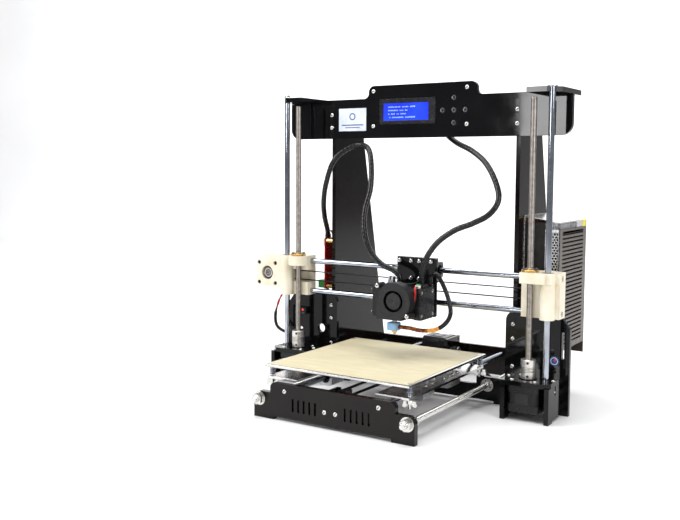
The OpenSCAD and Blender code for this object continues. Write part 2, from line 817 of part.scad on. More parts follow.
module carriage_plate() {
    color([0.05, 0.05, 0.055]) placed() {
        difference() {
            xz_sheet(plate_y, 3)
                round_rect(head_x - 30, gantry_z - 41, head_x + 31, gantry_z + 39, 3);
            for (b = top_blocks, dx = [-9, 9], dz = [-12, 12])
                y_rod(plate_y - 1, plate_y + 4, head_x + b + dx, x_rod_top + dz, m3_hole);
            for (dx = [-9, 9], dz = [-12, 12])
                y_rod(plate_y - 1, plate_y + 4, head_x + dx, x_rod_low + dz, m3_hole);
        }
        box(head_x - 9, head_x + 9, head_back, -16, gantry_z - 4.6, gantry_z + 5);
        box(head_x - 9, head_x + 9, -24.8, -23.4, gantry_z + 4, gantry_z + 9.8);
        box(head_x - 9, head_x + 9, -24.8, -16, gantry_z + 7.6, gantry_z + 9.8);
    }
}

module x_bearing_blocks() {
    color([0.7, 0.71, 0.72]) placed() {
        for (b = top_blocks)
            translate([head_x + b, head_back, x_rod_top]) rotate([-90, 0, 0]) bearing_block();
        translate([head_x, head_back, x_rod_low]) rotate([-90, 0, 0]) bearing_block();
        for (b = top_blocks) block_screws(head_x + b, x_rod_top);
        block_screws(head_x, x_rod_low);
    }
}

module extruder_motor() {
    color([0.06, 0.06, 0.065]) placed()
        translate([motor_x0, gear_y, gear_z]) rotate([0, -90, 0]) stepper(38);
}

// Filament feeder: bracket behind, drive block with the gear's well and the filament bore
module drive_block() {
    color([0.08, 0.08, 0.085]) placed() {
        difference() {
            union() {
                box(feeder_x[1], motor_x0, blower_y[1], plate_y - 3, gear_z - 21, gear_z + 21);
                box(feeder_x[1], head_x + 29, plate_y - 3, plate_y, gear_z + 11, gear_z + 21);
            }
            x_rod(feeder_x[1] - 1, motor_x0 + 1, gear_y, gear_z, boss_r + 0.3);
            for (x = [19, 25]) y_rod(plate_y - 4, plate_y + 1, head_x + x, gear_z + 16, m3_hole);
            for (y = [-1, 1], z = [-1, 1])
                x_rod(feeder_x[1] - 1, motor_x0 + 1, gear_y + y * motor_pitch / 2,
                    gear_z + z * motor_pitch / 2, m3_hole);
        }
        difference() {
            box(feeder_x[0], feeder_x[1], -88, -46, gear_z - 21, gear_z + 21);
            x_rod(feeder_x[0] + 1.5, feeder_x[1] + 1, gear_y, gear_z, 7.5);
            box(feeder_x[0] + 1.5, feeder_x[1] + 1, -89, -73.4, gear_z - 13, gear_z + 22);
            z_rod(gear_z - 22, gear_z + 22, hot_x, hot_y, 1.1);
            for (z = [-1, 1])
                x_rod(feeder_x[0] - 1, feeder_x[1] + 1, gear_y + motor_pitch / 2,
                    gear_z + z * motor_pitch / 2, m3_hole);
            x_rod(feeder_x[0] - 1, feeder_x[1] + 1, gear_y - motor_pitch / 2,
                gear_z - motor_pitch / 2, m3_hole);
        }
        x_rod(feeder_x[0] + 1.5, feeder_x[1], lever_pivot[0], lever_pivot[1], m3_r);
    }
}

// Spring-loaded arm that presses the filament on the gear
lever_pivot = [gear_y - motor_pitch / 2 + 1, gear_z - 9];

module feed_lever() {
    x0 = feeder_x[0] + 2;
    x1 = feeder_x[1] - 0.5;
    color([0.7, 0.7, 0.72]) placed() difference() {
        union() {
            box(x0, x1, -86, -78.5, gear_z - 8, gear_z + 35);
            x_rod(x0, x1, lever_pivot[0], lever_pivot[1], 3.6);
            x_rod(x0 + 1.2, x1 - 1.2, -78.6, gear_z, 4.6);
        }
        x_rod(x0 - 1, x1 + 1, lever_pivot[0], lever_pivot[1], m3_r + running);
        box(x0 + 2.4, x1 - 2.4, -87, -77, gear_z + 30, gear_z + 36);
    }
}

module drive_gear() {
    color([0.72, 0.58, 0.25]) placed() difference() {
        union() {
            x_rod(feeder_x[0] + 2, motor_x0 - 2.2, gear_y, gear_z, shaft_r);
            x_rod(feeder_x[0] + 2, feeder_x[1] - 0.6, gear_y, gear_z, 3.6);
        }
        for (a = [0:24:336])
            translate([0, gear_y, gear_z]) rotate([a, 0, 0])
                x_rod(feeder_x[0] + 1, feeder_x[1], 0, 3.75, 0.35);
    }
}

module heatsink() {
    x1 = feeder_x[0];
    color([0.5, 0.5, 0.52]) placed() difference() {
        box(x1 - 11, x1, -87, -47, gear_z - 20, gear_z + 20);
        for (i = [0:8])
            box(x1 - 12, x1 - 3, -86 + i * 4.4, -83.6 + i * 4.4, gear_z - 21, gear_z + 21);
        for (y = [-1, 1], z = [-1, 1])
            x_rod(x1 - 12, x1 + 1, gear_y + y * motor_pitch / 2, gear_z + z * motor_pitch / 2,
                m3_hole);
    }
}

module fan_frame() {
    x0 = fan_x[0];
    x1 = fan_x[1];
    color([0.05, 0.05, 0.05]) placed() {
        difference() {
            box(x0, x1, gear_y - 20, gear_y + 20, gear_z - 20, gear_z + 20);
            x_rod(x0 + 1.4, x1 + 1, gear_y, gear_z, 18.6);
            difference() {
                x_rod(x0 - 1, x0 + 2, gear_y, gear_z, 18.6);
                x_rod(x0 - 1, x0 + 2, gear_y, gear_z, 9);
                for (a = [20, 140, 260])
                    translate([x0 - 1, gear_y, gear_z]) rotate([a, 0, 0])
                        translate([0, 0, -1.2]) cube([3, 19.5, 2.4]);
            }
            for (y = [-1, 1], z = [-1, 1])
                x_rod(x0 - 1, x1 + 1, gear_y + y * motor_pitch / 2, gear_z + z * motor_pitch / 2,
                    m3_hole);
        }
        for (y = [-1, 1], z = [-1, 1])
            translate([x0, gear_y + y * motor_pitch / 2, gear_z + z * motor_pitch / 2])
                rotate([0, -90, 0]) {
                    cylinder(h = 2.6, r = 2.8);
                    translate([0, 0, -20.8]) cylinder(h = 20.8, r = 1.45);
                }
    }
}

module fan_rotor() {
    x0 = fan_x[0] + 2;
    x1 = fan_x[1] - 0.6;
    color([0.05, 0.05, 0.05]) placed() {
        x_rod(x0, x1, gear_y, gear_z, 8.6);
        for (a = [0:360 / 7:359])
            translate([(x0 + x1) / 2, gear_y, gear_z]) rotate([a, 0, 0])
                translate([0, 7.8, 0]) rotate([0, 38, 0]) translate([-0.6, 0, -3.4])
                    cube([1.2, 9.8, 6.8]);
    }
}

// Part-cooling blower: spiral housing with its mouth pointing down at the left
module blower_outline(inset) {
    translate(blower_c) circle(blower_r - inset);
    rect(blower_c[0] - blower_r + inset, blower_low - (inset > 0 ? 1 : 0),
        blower_c[0] - 4 - inset, blower_c[1]);
    if (inset == 0) rect(blower_c[0] - 6, blower_low, blower_c[0] + 12, blower_c[1]);
}

blower_ears = [[head_x - 21, gantry_z + 6.5], [head_x + 24, gantry_z - 31]];

module blower_housing() {
    color([0.05, 0.05, 0.055]) placed() {
        difference() {
            union() {
                xz_sheet(blower_y[0], 15) blower_outline(0);
                for (p = blower_ears) y_rod(blower_y[0] + 1, blower_y[1], p[0], p[1], 3.8);
            }
            xz_sheet(blower_y[0] + 1.5, 12) blower_outline(1.6);
            y_rod(blower_y[0] - 1, blower_y[0] + 3, blower_c[0], blower_c[1], 14.5);
            for (p = blower_ears) y_rod(blower_y[0] - 1, blower_y[1] + 1, p[0], p[1], m3_hole);
        }
        for (p = blower_ears) {
            y_rod(blower_y[0] - 1.2, blower_y[0] + 1, p[0], p[1], 2.9);
            y_rod(blower_y[0] + 1, blower_y[1], p[0], p[1], m3_r);
        }
    }
}

module blower_rotor() {
    y0 = blower_y[0];
    color([0.05, 0.05, 0.055]) placed() {
        y_rod(y0 + 0.3, y0 + 12, blower_c[0], blower_c[1], 11);
        y_rod(y0 + 11, y0 + 12.4, blower_c[0], blower_c[1], 20);
        for (a = [0:20:340])
            translate([blower_c[0], y0 + 2.6, blower_c[1]]) rotate([0, a, 0])
                translate([16.4, 0, 0]) rotate([0, 30, 0]) cube([4, 8.6, 0.9]);
    }
}

module hot_end() {
    block_top = gear_z - 29;
    block_low = block_top - 11;
    color([0.72, 0.74, 0.76]) placed() {
        difference() {
            z_rod(block_top, gear_z - 21, hot_x, hot_y, 3);
            z_rod(block_top - 1, gear_z - 20, hot_x, hot_y, 1.1);
        }
        difference() {
            box(hot_x - 9, hot_x + 6, hot_y - 6.5, hot_y + 8, block_low, block_top);
            z_rod(block_low - 1, block_top + 1, hot_x, hot_y, 1.1);
        }
        difference() {
            union() {
                translate([hot_x, hot_y, block_low - 2.6]) cylinder(h = 2.6, r = 4, $fn = 6);
                translate([hot_x, hot_y, block_low - 5.2])
                    cylinder(h = 2.6, r1 = 0.8, r2 = 3.2);
            }
            z_rod(block_low - 6, block_low + 1, hot_x, hot_y, 0.3);
        }
    }
}

// ---------------------------------------------------------------- bed

carriage_z = y_rod_z + block_h / 2;
carriage_t = 3;
bed_t = 3;
bed_low = bed_top - bed_t - 0.4;
block_y = [bed_y - 9, bed_y + 69.5];
post_x = 101;
post_y = [bed_y - 99, bed_y + 101];
nut_low = carriage_z - 9.5;

module arm_outline() {
    in_f = 58;
    out = 104;
    difference() {
        rect(-out, bed_y - 100 - 6, out, bed_y + 106);
        for (s = [-1, 1])
            polygon([[s > 0 ? in_f : -in_f, bed_y + s * 120], [s > 0 ? in_f : -in_f, bed_y + s * 54],
                [s > 0 ? 36 : -36, bed_y + s * 36], [s > 0 ? -36 : 36, bed_y + s * 36],
                [s > 0 ? -in_f : in_f, bed_y + s * 54], [s > 0 ? -in_f : in_f, bed_y + s * 120]]);
    }
}

module y_carriage_plate() {
    color([0.8, 0.8, 0.82]) placed() {
        difference() {
            translate([0, 0, carriage_z]) linear_extrude(carriage_t) difference() {
                arm_outline();
                for (s = [-1, 1], y = post_y) translate([s * post_x, y]) circle(1.9);
                for (s = [-1, 1], y = block_y, dx = [-12, 12], dy = [-9, 9])
                    translate([s * y_rod_gap / 2 + dx, y + dy]) circle(m3_hole);
            }
        }
        difference() {
            box(-9, 9, bed_y - 14, bed_y + 6, y_belt_z + y_belt_out + gap, carriage_z);
            box(-20, 20, bed_y - 6, bed_y - 2, 0, carriage_z - 3);
        }
    }
}

module y_bearing_blocks() {
    color([0.7, 0.71, 0.72]) placed() both_sides() for (y = block_y) {
        translate([y_rod_gap / 2, y, carriage_z]) rotate([180, 0, 90]) bearing_block();
        for (dx = [-12, 12], dy = [-9, 9])
            translate([y_rod_gap / 2 + dx, y + dy, carriage_z + carriage_t]) screw(9);
    }
}

module heated_bed() {
    color([0.9, 0.85, 0.7]) placed() {
        difference() {
            box(-bed_w / 2, bed_w / 2, bed_y - bed_d / 2, bed_y + bed_d / 2, bed_low,
                bed_low + bed_t);
            for (s = [-1, 1], y = post_y) z_rod(bed_low - 1, bed_top, s * post_x, y, 1.9);
        }
        difference() {
            box(-bed_w / 2 + 1, bed_w / 2 - 1, bed_y - bed_d / 2 + 5, bed_y + bed_d / 2 - 1,
                bed_low + bed_t, bed_top);
            for (s = [-1, 1], y = post_y) z_rod(bed_low - 1, bed_top + 1, s * post_x, y, 3.4);
        }
    }
}

// Levelling posts: countersunk screw, spring around it
module bed_posts() {
    coil_low = carriage_z + carriage_t;
    color([0.75, 0.75, 0.76]) placed() both_sides() for (y = post_y) {
        z_rod(nut_low - 2, bed_low + bed_t, post_x, y, 1.75);
        z_rod(bed_low + bed_t, bed_top, post_x, y, 3.2);
        difference() {
            z_rod(coil_low, bed_low, post_x, y, 4);
            z_rod(coil_low - 1, bed_low + 1, post_x, y, 2.9);
        }
    }
}

module wing_nut(x, y) {
    color([0.8, 0.8, 0.8]) placed() translate([x, y, nut_low]) difference() {
        union() {
            translate([0, 0, 4.6]) cylinder(h = 4.6, r = 3.8);
            rotate(20) for (s = [-1, 1]) {
                translate([s * 5 - 2.6, -0.8, 1.6]) cube([5.2, 1.6, 6]);
                translate([s * 6.2, 0.8, 2.4]) rotate([90, 0, 0]) cylinder(h = 1.6, r = 2.4);
            }
        }
        translate([0, 0, -1]) cylinder(h = 12, r = 1.75 + running);
    }
}

module nut_front_left() { wing_nut(-post_x, post_y[0]); }
module nut_front_right() { wing_nut(post_x, post_y[0]); }
module nut_back_left() { wing_nut(-post_x, post_y[1]); }
module nut_back_right() { wing_nut(post_x, post_y[1]); }

// ---------------------------------------------------------------- turning pieces

coupling_z = [shelf_top + 0.5, shelf_top + 25.5];
coupling_r = 9.5;
screw_top = 411;

// Leadscrew, flexible coupling and the motor's spindle turn as one
module leadscrew(s) {
    color([0.6, 0.58, 0.54]) placed() {
        z_rod(coupling_z[0] + 13, screw_top, s * screw_x, screw_y, rod_r);
        z_rod(shelf_z + 2.1, coupling_z[0] + 12, s * screw_x, screw_y, shaft_r);
        difference() {
            z_rod(coupling_z[0], coupling_z[1], s * screw_x, screw_y, coupling_r);
            z_rod(coupling_z[0] + 12.5, coupling_z[1] + 1, s * screw_x, screw_y, rod_r + snug);
            z_rod(coupling_z[0] - 1, coupling_z[0] + 12.6, s * screw_x, screw_y, shaft_r + snug);
            for (z = [4, 21])
                y_rod(screw_y - 12, screw_y - 5, s * screw_x - 3, coupling_z[0] + z, 1.6);
        }
    }
}

module left_leadscrew() { leadscrew(-1); }
module right_leadscrew() { leadscrew(1); }

// Toothed pulley along +Z: hub, flange, teeth, flange; bore for a shaft that turns with it
module pulley(r, shaft, shaft_len) {
    cylinder(h = 1, r = r + 2);
    translate([0, 0, 1]) cylinder(h = 7, r = r);
    translate([0, 0, 8]) cylinder(h = 1, r = r + 2);
    translate([0, 0, 9]) cylinder(h = 3, r = r + 1.4);
    translate([0, 0, 12]) cylinder(h = shaft_len, r = shaft);
}

pulley_r = 5.6;
y_pulley_r = 4.2;

module x_pulley() {
    color([0.75, 0.76, 0.78]) placed()
        translate([x_motor_x, x_rod_y - 4.5, gantry_z]) rotate([-90, 0, 0])
            difference() {
                pulley(pulley_r, shaft_r, 2.2);
                translate([0, 0, -1]) cylinder(h = 2, r = 1);
            }
}

module y_pulley() {
    color([0.75, 0.76, 0.78]) placed()
        translate([4.5, y_axis[1], y_belt_z]) rotate([0, -90, 0])
            pulley(y_pulley_r, shaft_r, 1.2);
}

// Idler wheel with its bore on a fixed pin, axis along +Z
module idler(r, pin_r) {
    difference() {
        union() {
            cylinder(h = 0.8, r = r + 1.6);
            translate([0, 0, 0.8]) cylinder(h = 6.6, r = r);
            translate([0, 0, 7.4]) cylinder(h = 0.8, r = r + 1.6);
        }
        translate([0, 0, -1]) cylinder(h = 11, r = pin_r + running);
    }
}

module x_idler() {
    color([0.72, 0.73, 0.75]) placed()
        translate([x_idler_x, x_rod_y - 4.1, gantry_z]) rotate([-90, 0, 0]) idler(pulley_r, 2);
}

module y_idler() {
    color([0.72, 0.73, 0.75]) placed()
        translate([-4.1, y_axis[0], y_belt_z]) rotate([0, 90, 0]) idler(y_pulley_r, 2);
}

// ---------------------------------------------------------------- keys

// The five keys: middle, up, down, left, right
function key_place(a) =
    [key_x + [0, 0, 0, -1, 1][a] * key_pitch, key_z + [0, 1, -1, 0, 0][a] * key_pitch];

module panel_key(a) {
    p = key_place(a);
    color([0.5, 0.5, 0.52]) placed() {
        y_rod(0.8, 4.4, p[0], p[1], key_r);
        y_rod(4.4, 6, p[0], p[1], 2);
    }
}

module key_centre() { panel_key(0); }
module key_up() { panel_key(1); }
module key_down() { panel_key(2); }
module key_left() { panel_key(3); }
module key_right() { panel_key(4); }

// ---------------------------------------------------------------- cords

loom_d = 8;
head_route = [
    [-172, 29, 212], [-172, 29, 225], [-168, 15, 246], [-160, 0, 270], [-149, -10, 298],
    [-135, -12, 330], [-118, -4, 348], [-98, 2, 355], [-78, -6, 348], [-66, -18, 324],
    [-60, -30, 292], [-62, -42, 260], [-56, -52, 232], [-44, -58, 208], [-24, -60, 190],
    [-4, -60, 182], [5, -60, 174], [5, -60, 163.1]];
panel_route = [
    [14, 12.6, 386], [14, 22, 386], [26, 28, 372], [50, 18, 357], [80, 4, 345],
    [106, -8, 328], [126, -20, 302], [134, -30, 280], [126, -40, 262], [106, -46, 250],
    [82, -50, 240], [60, -54, 224], [46, -58, 204], [40, -60, 184], [40, -60, 163.3]];
bed_route = [
    [84, -5, 65.3], [84, -5, 60.5], [85, 4, 55.5], [88, 16, 49], [92, 30, 38],
    [96, 44, 26], [99, 58, 14], [106, 76, 8], [114, 100, 7], [120, 124, 10], [122, 144, 18],
    [122, 156, 18]];
end_route = [
    [-240, 8, 138.3], [-240, 8, 129], [-243, -2, 112], [-242, -12, 92], [-234, -18, 76],
    [-218, -16, 68], [-206, -8, 68.5], [-203, 3, 69], [-202, 14, 72], [-194, 22, 86],
    [-180, 28, 106], [-172.5, 30, 124], [-172.5, 30, 137]];
heater_route = [
    [48, -51, 163.3], [48, -51, 176], [57, -52, 180], [69, -55, 166], [78, -58, 149],
    [83, -61, 132], [79, -65, 119], [66, -68, 109], [46, -70, 105.5], [26, -70, 107],
    [11, -70, 107]];

module head_loom() { color([0.03, 0.03, 0.03]) placed() cord(head_route, loom_d); }
module panel_loom() { color([0.03, 0.03, 0.03]) placed() cord(panel_route, loom_d); }
module bed_loom() { color([0.03, 0.03, 0.03]) placed() cord(bed_route, 5); }
module end_loom() { color([0.03, 0.03, 0.03]) placed() cord(end_route, 5); }
module heater_cable() { color([0.5, 0.15, 0.05]) placed() cord(heater_route, 6); }

// ---------------------------------------------------------------- parts

front_panel();
side_plates();
wing_plates();
cross_plate();
rod_plates();
motor_legs();
y_front_plate();
y_rear_plate();
frame_rods();
frame_fasteners();
frame_motors();
y_brackets();
y_belt();
lcd_module();
psu_case();
psu_cover();
control_board();
limit_switches();
head_loom();
panel_loom();
bed_loom();
x_motor_end();
x_idler_end();
x_rods();
x_motor();
z_guides();
x_belt();
end_loom();
carriage_plate();
x_bearing_blocks();
extruder_motor();
drive_block();
heatsink();
fan_frame();
blower_housing();
hot_end();
heater_cable();
y_carriage_plate();
y_bearing_blocks();
heated_bed();
bed_posts();
left_leadscrew();
right_leadscrew();
x_pulley();
x_idler();
y_pulley();
y_idler();
drive_gear();
blower_rotor();
fan_rotor();
feed_lever();
key_centre();
key_up();
key_down();
key_left();
key_right();
nut_front_left();
nut_front_right();
nut_back_left();
nut_back_right();
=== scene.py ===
"""Looks of the desktop filament printer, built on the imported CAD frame. Lengths are in
millimetres in the CAD's plan frame and turned into metres of the row frame by P()."""

import math
import random
from itertools import product

import bpy
import bmesh
from mathutils import Matrix, Vector


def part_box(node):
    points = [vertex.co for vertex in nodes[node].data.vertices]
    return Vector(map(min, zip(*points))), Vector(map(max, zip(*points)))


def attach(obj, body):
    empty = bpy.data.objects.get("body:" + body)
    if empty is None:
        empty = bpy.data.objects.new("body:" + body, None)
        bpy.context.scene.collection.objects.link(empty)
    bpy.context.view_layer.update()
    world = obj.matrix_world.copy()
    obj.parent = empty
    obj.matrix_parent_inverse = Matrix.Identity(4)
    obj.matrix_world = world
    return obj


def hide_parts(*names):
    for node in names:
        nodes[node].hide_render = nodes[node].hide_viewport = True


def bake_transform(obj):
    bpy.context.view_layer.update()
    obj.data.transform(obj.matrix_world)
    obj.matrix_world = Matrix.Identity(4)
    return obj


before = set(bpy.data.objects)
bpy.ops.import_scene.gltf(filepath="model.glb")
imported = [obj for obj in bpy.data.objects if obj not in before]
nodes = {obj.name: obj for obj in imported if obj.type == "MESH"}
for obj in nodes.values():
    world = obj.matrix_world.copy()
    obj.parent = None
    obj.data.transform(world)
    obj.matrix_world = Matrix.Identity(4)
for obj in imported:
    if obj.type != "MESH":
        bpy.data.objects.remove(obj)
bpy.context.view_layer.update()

ORIGIN_X, ORIGIN_Y = 22.2, 32.0
scene = bpy.context.scene
rng = random.Random(11)


def P(x, y, z):
    return Vector(((x + ORIGIN_X) / 1000, (y + ORIGIN_Y) / 1000, z / 1000))


# ---------------- camera

CAM_PLACE = P(593.92, -1120.61, 322.04)
CAM_YAW, CAM_PITCH, CAM_ROLL = (math.radians(a) for a in (33.18, -4.79, 0.26))
forward = Vector((-math.sin(CAM_YAW) * math.cos(CAM_PITCH),
                  math.cos(CAM_YAW) * math.cos(CAM_PITCH), math.sin(CAM_PITCH)))
level = Vector((math.cos(CAM_YAW), math.sin(CAM_YAW), 0))
upright = level.cross(forward)
cam_x = level * math.cos(CAM_ROLL) + upright * math.sin(CAM_ROLL)
cam_y = upright * math.cos(CAM_ROLL) - level * math.sin(CAM_ROLL)
cam_data = bpy.data.cameras.new("camera")
cam_data.sensor_width = 36.0
cam_data.lens = 47.39
cam_data.shift_x = 0.0070
cam_data.shift_y = -0.0261
camera = bpy.data.objects.new("camera", cam_data)
turn = Matrix((cam_x, cam_y, -forward)).transposed().to_4x4()
camera.matrix_world = Matrix.Translation(CAM_PLACE) @ turn
scene.collection.objects.link(camera)
scene.camera = camera

# ---------------- materials


def new_material(name):
    m = bpy.data.materials.new(name)
    m.use_nodes = True
    tree = m.node_tree
    return m, tree, tree.nodes["Principled BSDF"]


def settle(n, **values):
    """Set a node's inputs by name, with _ for a space, or its own settings."""
    for k, v in values.items():
        if hasattr(n, k):
            setattr(n, k, v)
        else:
            n.inputs[k.replace("_", " ")].default_value = v
    return n


def add(tree, kind, **values):
    return settle(tree.nodes.new(kind), **values)


def coords(tree, stretch=(1, 1, 1)):
    """Object coordinates, stretched so that a grain can run along one axis."""
    where = add(tree, "ShaderNodeTexCoord")
    if stretch == (1, 1, 1):
        return where.outputs["Object"]
    mapped = add(tree, "ShaderNodeMapping", Scale=stretch)
    tree.links.new(where.outputs["Object"], mapped.inputs["Vector"])
    return mapped.outputs["Vector"]


def noise(tree, scale, detail=4.0, stretch=(1, 1, 1)):
    n = add(tree, "ShaderNodeTexNoise", Scale=scale, Detail=detail)
    tree.links.new(coords(tree, stretch), n.inputs["Vector"])
    return n.outputs["Fac"]


def spread(tree, source, low, high, start=0.3, stop=0.7):
    n = add(tree, "ShaderNodeMapRange", From_Min=start, From_Max=stop, To_Min=low, To_Max=high)
    tree.links.new(source, n.inputs["Value"])
    return n.outputs["Result"]


def blend_colour(tree, factor, a, b):
    n = add(tree, "ShaderNodeMix", data_type="RGBA")
    n.inputs[6].default_value = (*a, 1)
    n.inputs[7].default_value = (*b, 1)
    tree.links.new(factor, n.inputs[0])
    return n.outputs[2]


def mix_outputs(tree, share, a, b, way="MIX"):
    n = add(tree, "ShaderNodeMix", data_type="RGBA", blend_type=way)
    n.inputs[0].default_value = share
    tree.links.new(a, n.inputs[6])
    tree.links.new(b, n.inputs[7])
    return n.outputs[2]


def relief(tree, height, strength, depth):
    b = add(tree, "ShaderNodeBump", Strength=strength, Distance=depth)
    tree.links.new(height, b.inputs["Height"])
    return b


def surface(name, dark, light, rough, metal=0.0, scale=120, bump=0.0, grain=900,
            stretch=(1, 1, 1), coat=0.0, specular=0.5, round_edge=0.0):
    """Two-tone surface with uneven gloss, a fine bump and softly rounded edges."""
    m, tree, shader = new_material(name)
    colour = blend_colour(tree, spread(tree, noise(tree, scale, 4.0, stretch), 0, 1), dark, light)
    tree.links.new(colour, shader.inputs["Base Color"])
    gloss = spread(tree, noise(tree, scale * 2.7, 3.0, stretch), rough[0], rough[1])
    tree.links.new(gloss, shader.inputs["Roughness"])
    settle(shader, Metallic=metal, Specular_IOR_Level=specular)
    if coat:
        settle(shader, Coat_Weight=coat, Coat_Roughness=0.06)
    normal = None
    if round_edge:
        edge = add(tree, "ShaderNodeBevel", samples=4, Radius=round_edge / 1000)
        normal = edge.outputs["Normal"]
    if bump:
        b = relief(tree, noise(tree, grain, 5.0, stretch), bump, 0.0004)
        if normal:
            tree.links.new(normal, b.inputs["Normal"])
        normal = b.outputs["Normal"]
    if normal:
        tree.links.new(normal, shader.inputs["Normal"])
    return m


ACRYLIC = surface("black_acrylic", (0.0025, 0.0025, 0.003), (0.005, 0.005, 0.0055), (0.03, 0.09),
                  scale=14, specular=0.2, round_edge=0.35, bump=0.03, grain=30)
ACRYLIC_BROWN = surface("smoked_acrylic", (0.005, 0.0035, 0.003), (0.009, 0.0065, 0.0055),
                        (0.035, 0.1), scale=12, specular=0.22, round_edge=0.35, bump=0.03, grain=30)
CHROME = surface("ground_rod", (0.3, 0.32, 0.37), (0.44, 0.47, 0.52), (0.05, 0.12), 1.0, scale=60,
                 bump=0.03, grain=2200)
ZINC = surface("zinc_plate", (0.6, 0.59, 0.57), (0.74, 0.73, 0.7), (0.16, 0.28), 1.0, scale=160,
               bump=0.06, grain=1500)
SCREW_STEEL = surface("rolled_screw", (0.24, 0.215, 0.195), (0.4, 0.36, 0.33), (0.28, 0.42), 1.0,
                      scale=200, bump=0.06, grain=1500)
COUPLING = surface("turned_aluminium", (0.58, 0.55, 0.51), (0.78, 0.75, 0.71), (0.25, 0.4), 1.0,
                   scale=90, stretch=(1, 1, 14), bump=0.12, grain=300)
ALUMINIUM = surface("machined_aluminium", (0.5, 0.51, 0.53), (0.7, 0.71, 0.73), (0.24, 0.4), 1.0,
                    scale=80, stretch=(1, 8, 1), bump=0.08, grain=700, round_edge=0.3)
# Dark metal for small dark parts, and painted shade on the x bearing blocks, which are silver like
# the y blocks.
DARK_METAL_AND_SHADE = surface("dark_metal_and_painted_shade", (0.09, 0.09, 0.095), (0.17, 0.17, 0.18), (0.25, 0.4), 1.0,
                   scale=80, stretch=(1, 8, 1), bump=0.08, grain=700, round_edge=0.3)
SHEET_ALU = surface("sheet_aluminium", (0.52, 0.51, 0.5), (0.72, 0.71, 0.7), (0.12, 0.24), 1.0,
                    scale=40, stretch=(1, 12, 1), bump=0.05, grain=500, round_edge=0.2)
MOTOR_BLACK = surface("motor_black", (0.004, 0.004, 0.0045), (0.007, 0.007, 0.0075), (0.28, 0.38),
                      scale=80, bump=0.02, grain=500, round_edge=0.3, specular=0.28)
MOTOR_CAP = surface("motor_cap", (0.005, 0.005, 0.0055), (0.009, 0.009, 0.0095), (0.25, 0.34),
                    scale=80, bump=0.02, grain=500, round_edge=0.3, specular=0.3)
LABEL_DARK = surface("dark_label", (0.012, 0.012, 0.013), (0.018, 0.018, 0.02), (0.2, 0.3),
                     scale=300, specular=0.3)
PLASTIC = surface("black_plastic", (0.005, 0.005, 0.006), (0.012, 0.012, 0.014), (0.36, 0.5),
                  scale=220, bump=0.1, grain=1600, round_edge=0.4, specular=0.32)
BLOWER_GREY = surface("blower_plastic", (0.009, 0.0092, 0.0105), (0.015, 0.0155, 0.0175),
                      (0.36, 0.48), scale=180, bump=0.1, grain=1500, round_edge=0.5, specular=0.38)
SINK = surface("black_anodised", (0.006, 0.006, 0.007), (0.015, 0.015, 0.017), (0.3, 0.42), 0.3,
               scale=200, bump=0.08, grain=1200, specular=0.3)
IVORY = surface("ivory_plastic", (0.74, 0.66, 0.49), (0.84, 0.79, 0.66), (0.32, 0.46), scale=50,
                bump=0.14, grain=800, round_edge=0.7)
BRASS = surface("brass", (0.56, 0.32, 0.09), (0.84, 0.55, 0.2), (0.18, 0.32), 1.0, scale=240,
                bump=0.06, grain=1200, round_edge=0.3)
BELT = surface("belt_rubber", (0.004, 0.004, 0.004), (0.01, 0.01, 0.01), (0.5, 0.7), scale=400,
               bump=0.3, grain=2500, specular=0.25)
LOOM = surface("spiral_wrap", (0.003, 0.003, 0.0035), (0.008, 0.008, 0.009), (0.2, 0.34), scale=200,
               bump=0.12, grain=1200, specular=0.35)
PCB_RED = surface("red_board", (0.34, 0.008, 0.006), (0.52, 0.018, 0.014), (0.2, 0.34), scale=90,
                  stretch=(1, 1, 3), bump=0.1, grain=420, coat=0.2)
PCB_BLUE = surface("blue_board", (0.006, 0.03, 0.09), (0.012, 0.05, 0.14), (0.2, 0.34), scale=90,
                   stretch=(3, 1, 1), bump=0.1, grain=420, coat=0.2)
CHIP = surface("chip_black", (0.006, 0.006, 0.006), (0.014, 0.014, 0.014), (0.35, 0.5), scale=500,
               bump=0.1, grain=3000, specular=0.3)
SOCKET = surface("socket_shadow", (0.05, 0.05, 0.052), (0.1, 0.1, 0.105), (0.4, 0.5), 0.8, scale=400)
WHITE_PLASTIC = surface("white_plastic", (0.72, 0.71, 0.66), (0.84, 0.83, 0.8), (0.35, 0.5),
                        scale=150, bump=0.08, grain=1300, round_edge=0.3)
GREEN_PLASTIC = surface("green_terminal", (0.02, 0.24, 0.05), (0.04, 0.36, 0.09), (0.35, 0.5),
                        scale=150, bump=0.08, grain=1300, round_edge=0.3)
RED_WIRE = surface("red_wire", (0.5, 0.01, 0.01), (0.7, 0.03, 0.025), (0.3, 0.45), scale=260,
                   bump=0.05, grain=1200)
BLACK_WIRE = surface("black_wire", (0.004, 0.004, 0.004), (0.009, 0.009, 0.009), (0.3, 0.45),
                     scale=260, bump=0.05, grain=1200, specular=0.35)
PSU_SKIN = surface("psu_sheet", (0.13, 0.112, 0.098), (0.18, 0.158, 0.138), (0.3, 0.46), 0.85,
                   scale=90, stretch=(1, 6, 1), bump=0.12, grain=900, round_edge=0.3)
PSU_DARK = surface("psu_inside", (0.007, 0.006, 0.0055), (0.018, 0.016, 0.014), (0.5, 0.7),
                   scale=120, bump=0.1, grain=900, specular=0.25)
PSU_BRIGHT = surface("psu_bright", (0.6, 0.6, 0.6), (0.8, 0.8, 0.8), (0.2, 0.34), 0.9, scale=90,
                     stretch=(1, 6, 1), bump=0.06, grain=900, round_edge=0.3)
YELLOW = surface("yellow_label", (0.8, 0.62, 0.02), (0.9, 0.75, 0.05), (0.35, 0.5), scale=200)
WRAP_BLUE = surface("blue_wrap", (0.2, 0.42, 0.74), (0.36, 0.6, 0.86), (0.55, 0.75), scale=420,
                    bump=0.4, grain=900, round_edge=0.8)
BADGE_WHITE = surface("plain_badge", (0.6, 0.65, 0.72), (0.74, 0.78, 0.83), (0.2, 0.3), scale=60,
                      bump=0.03, grain=300)
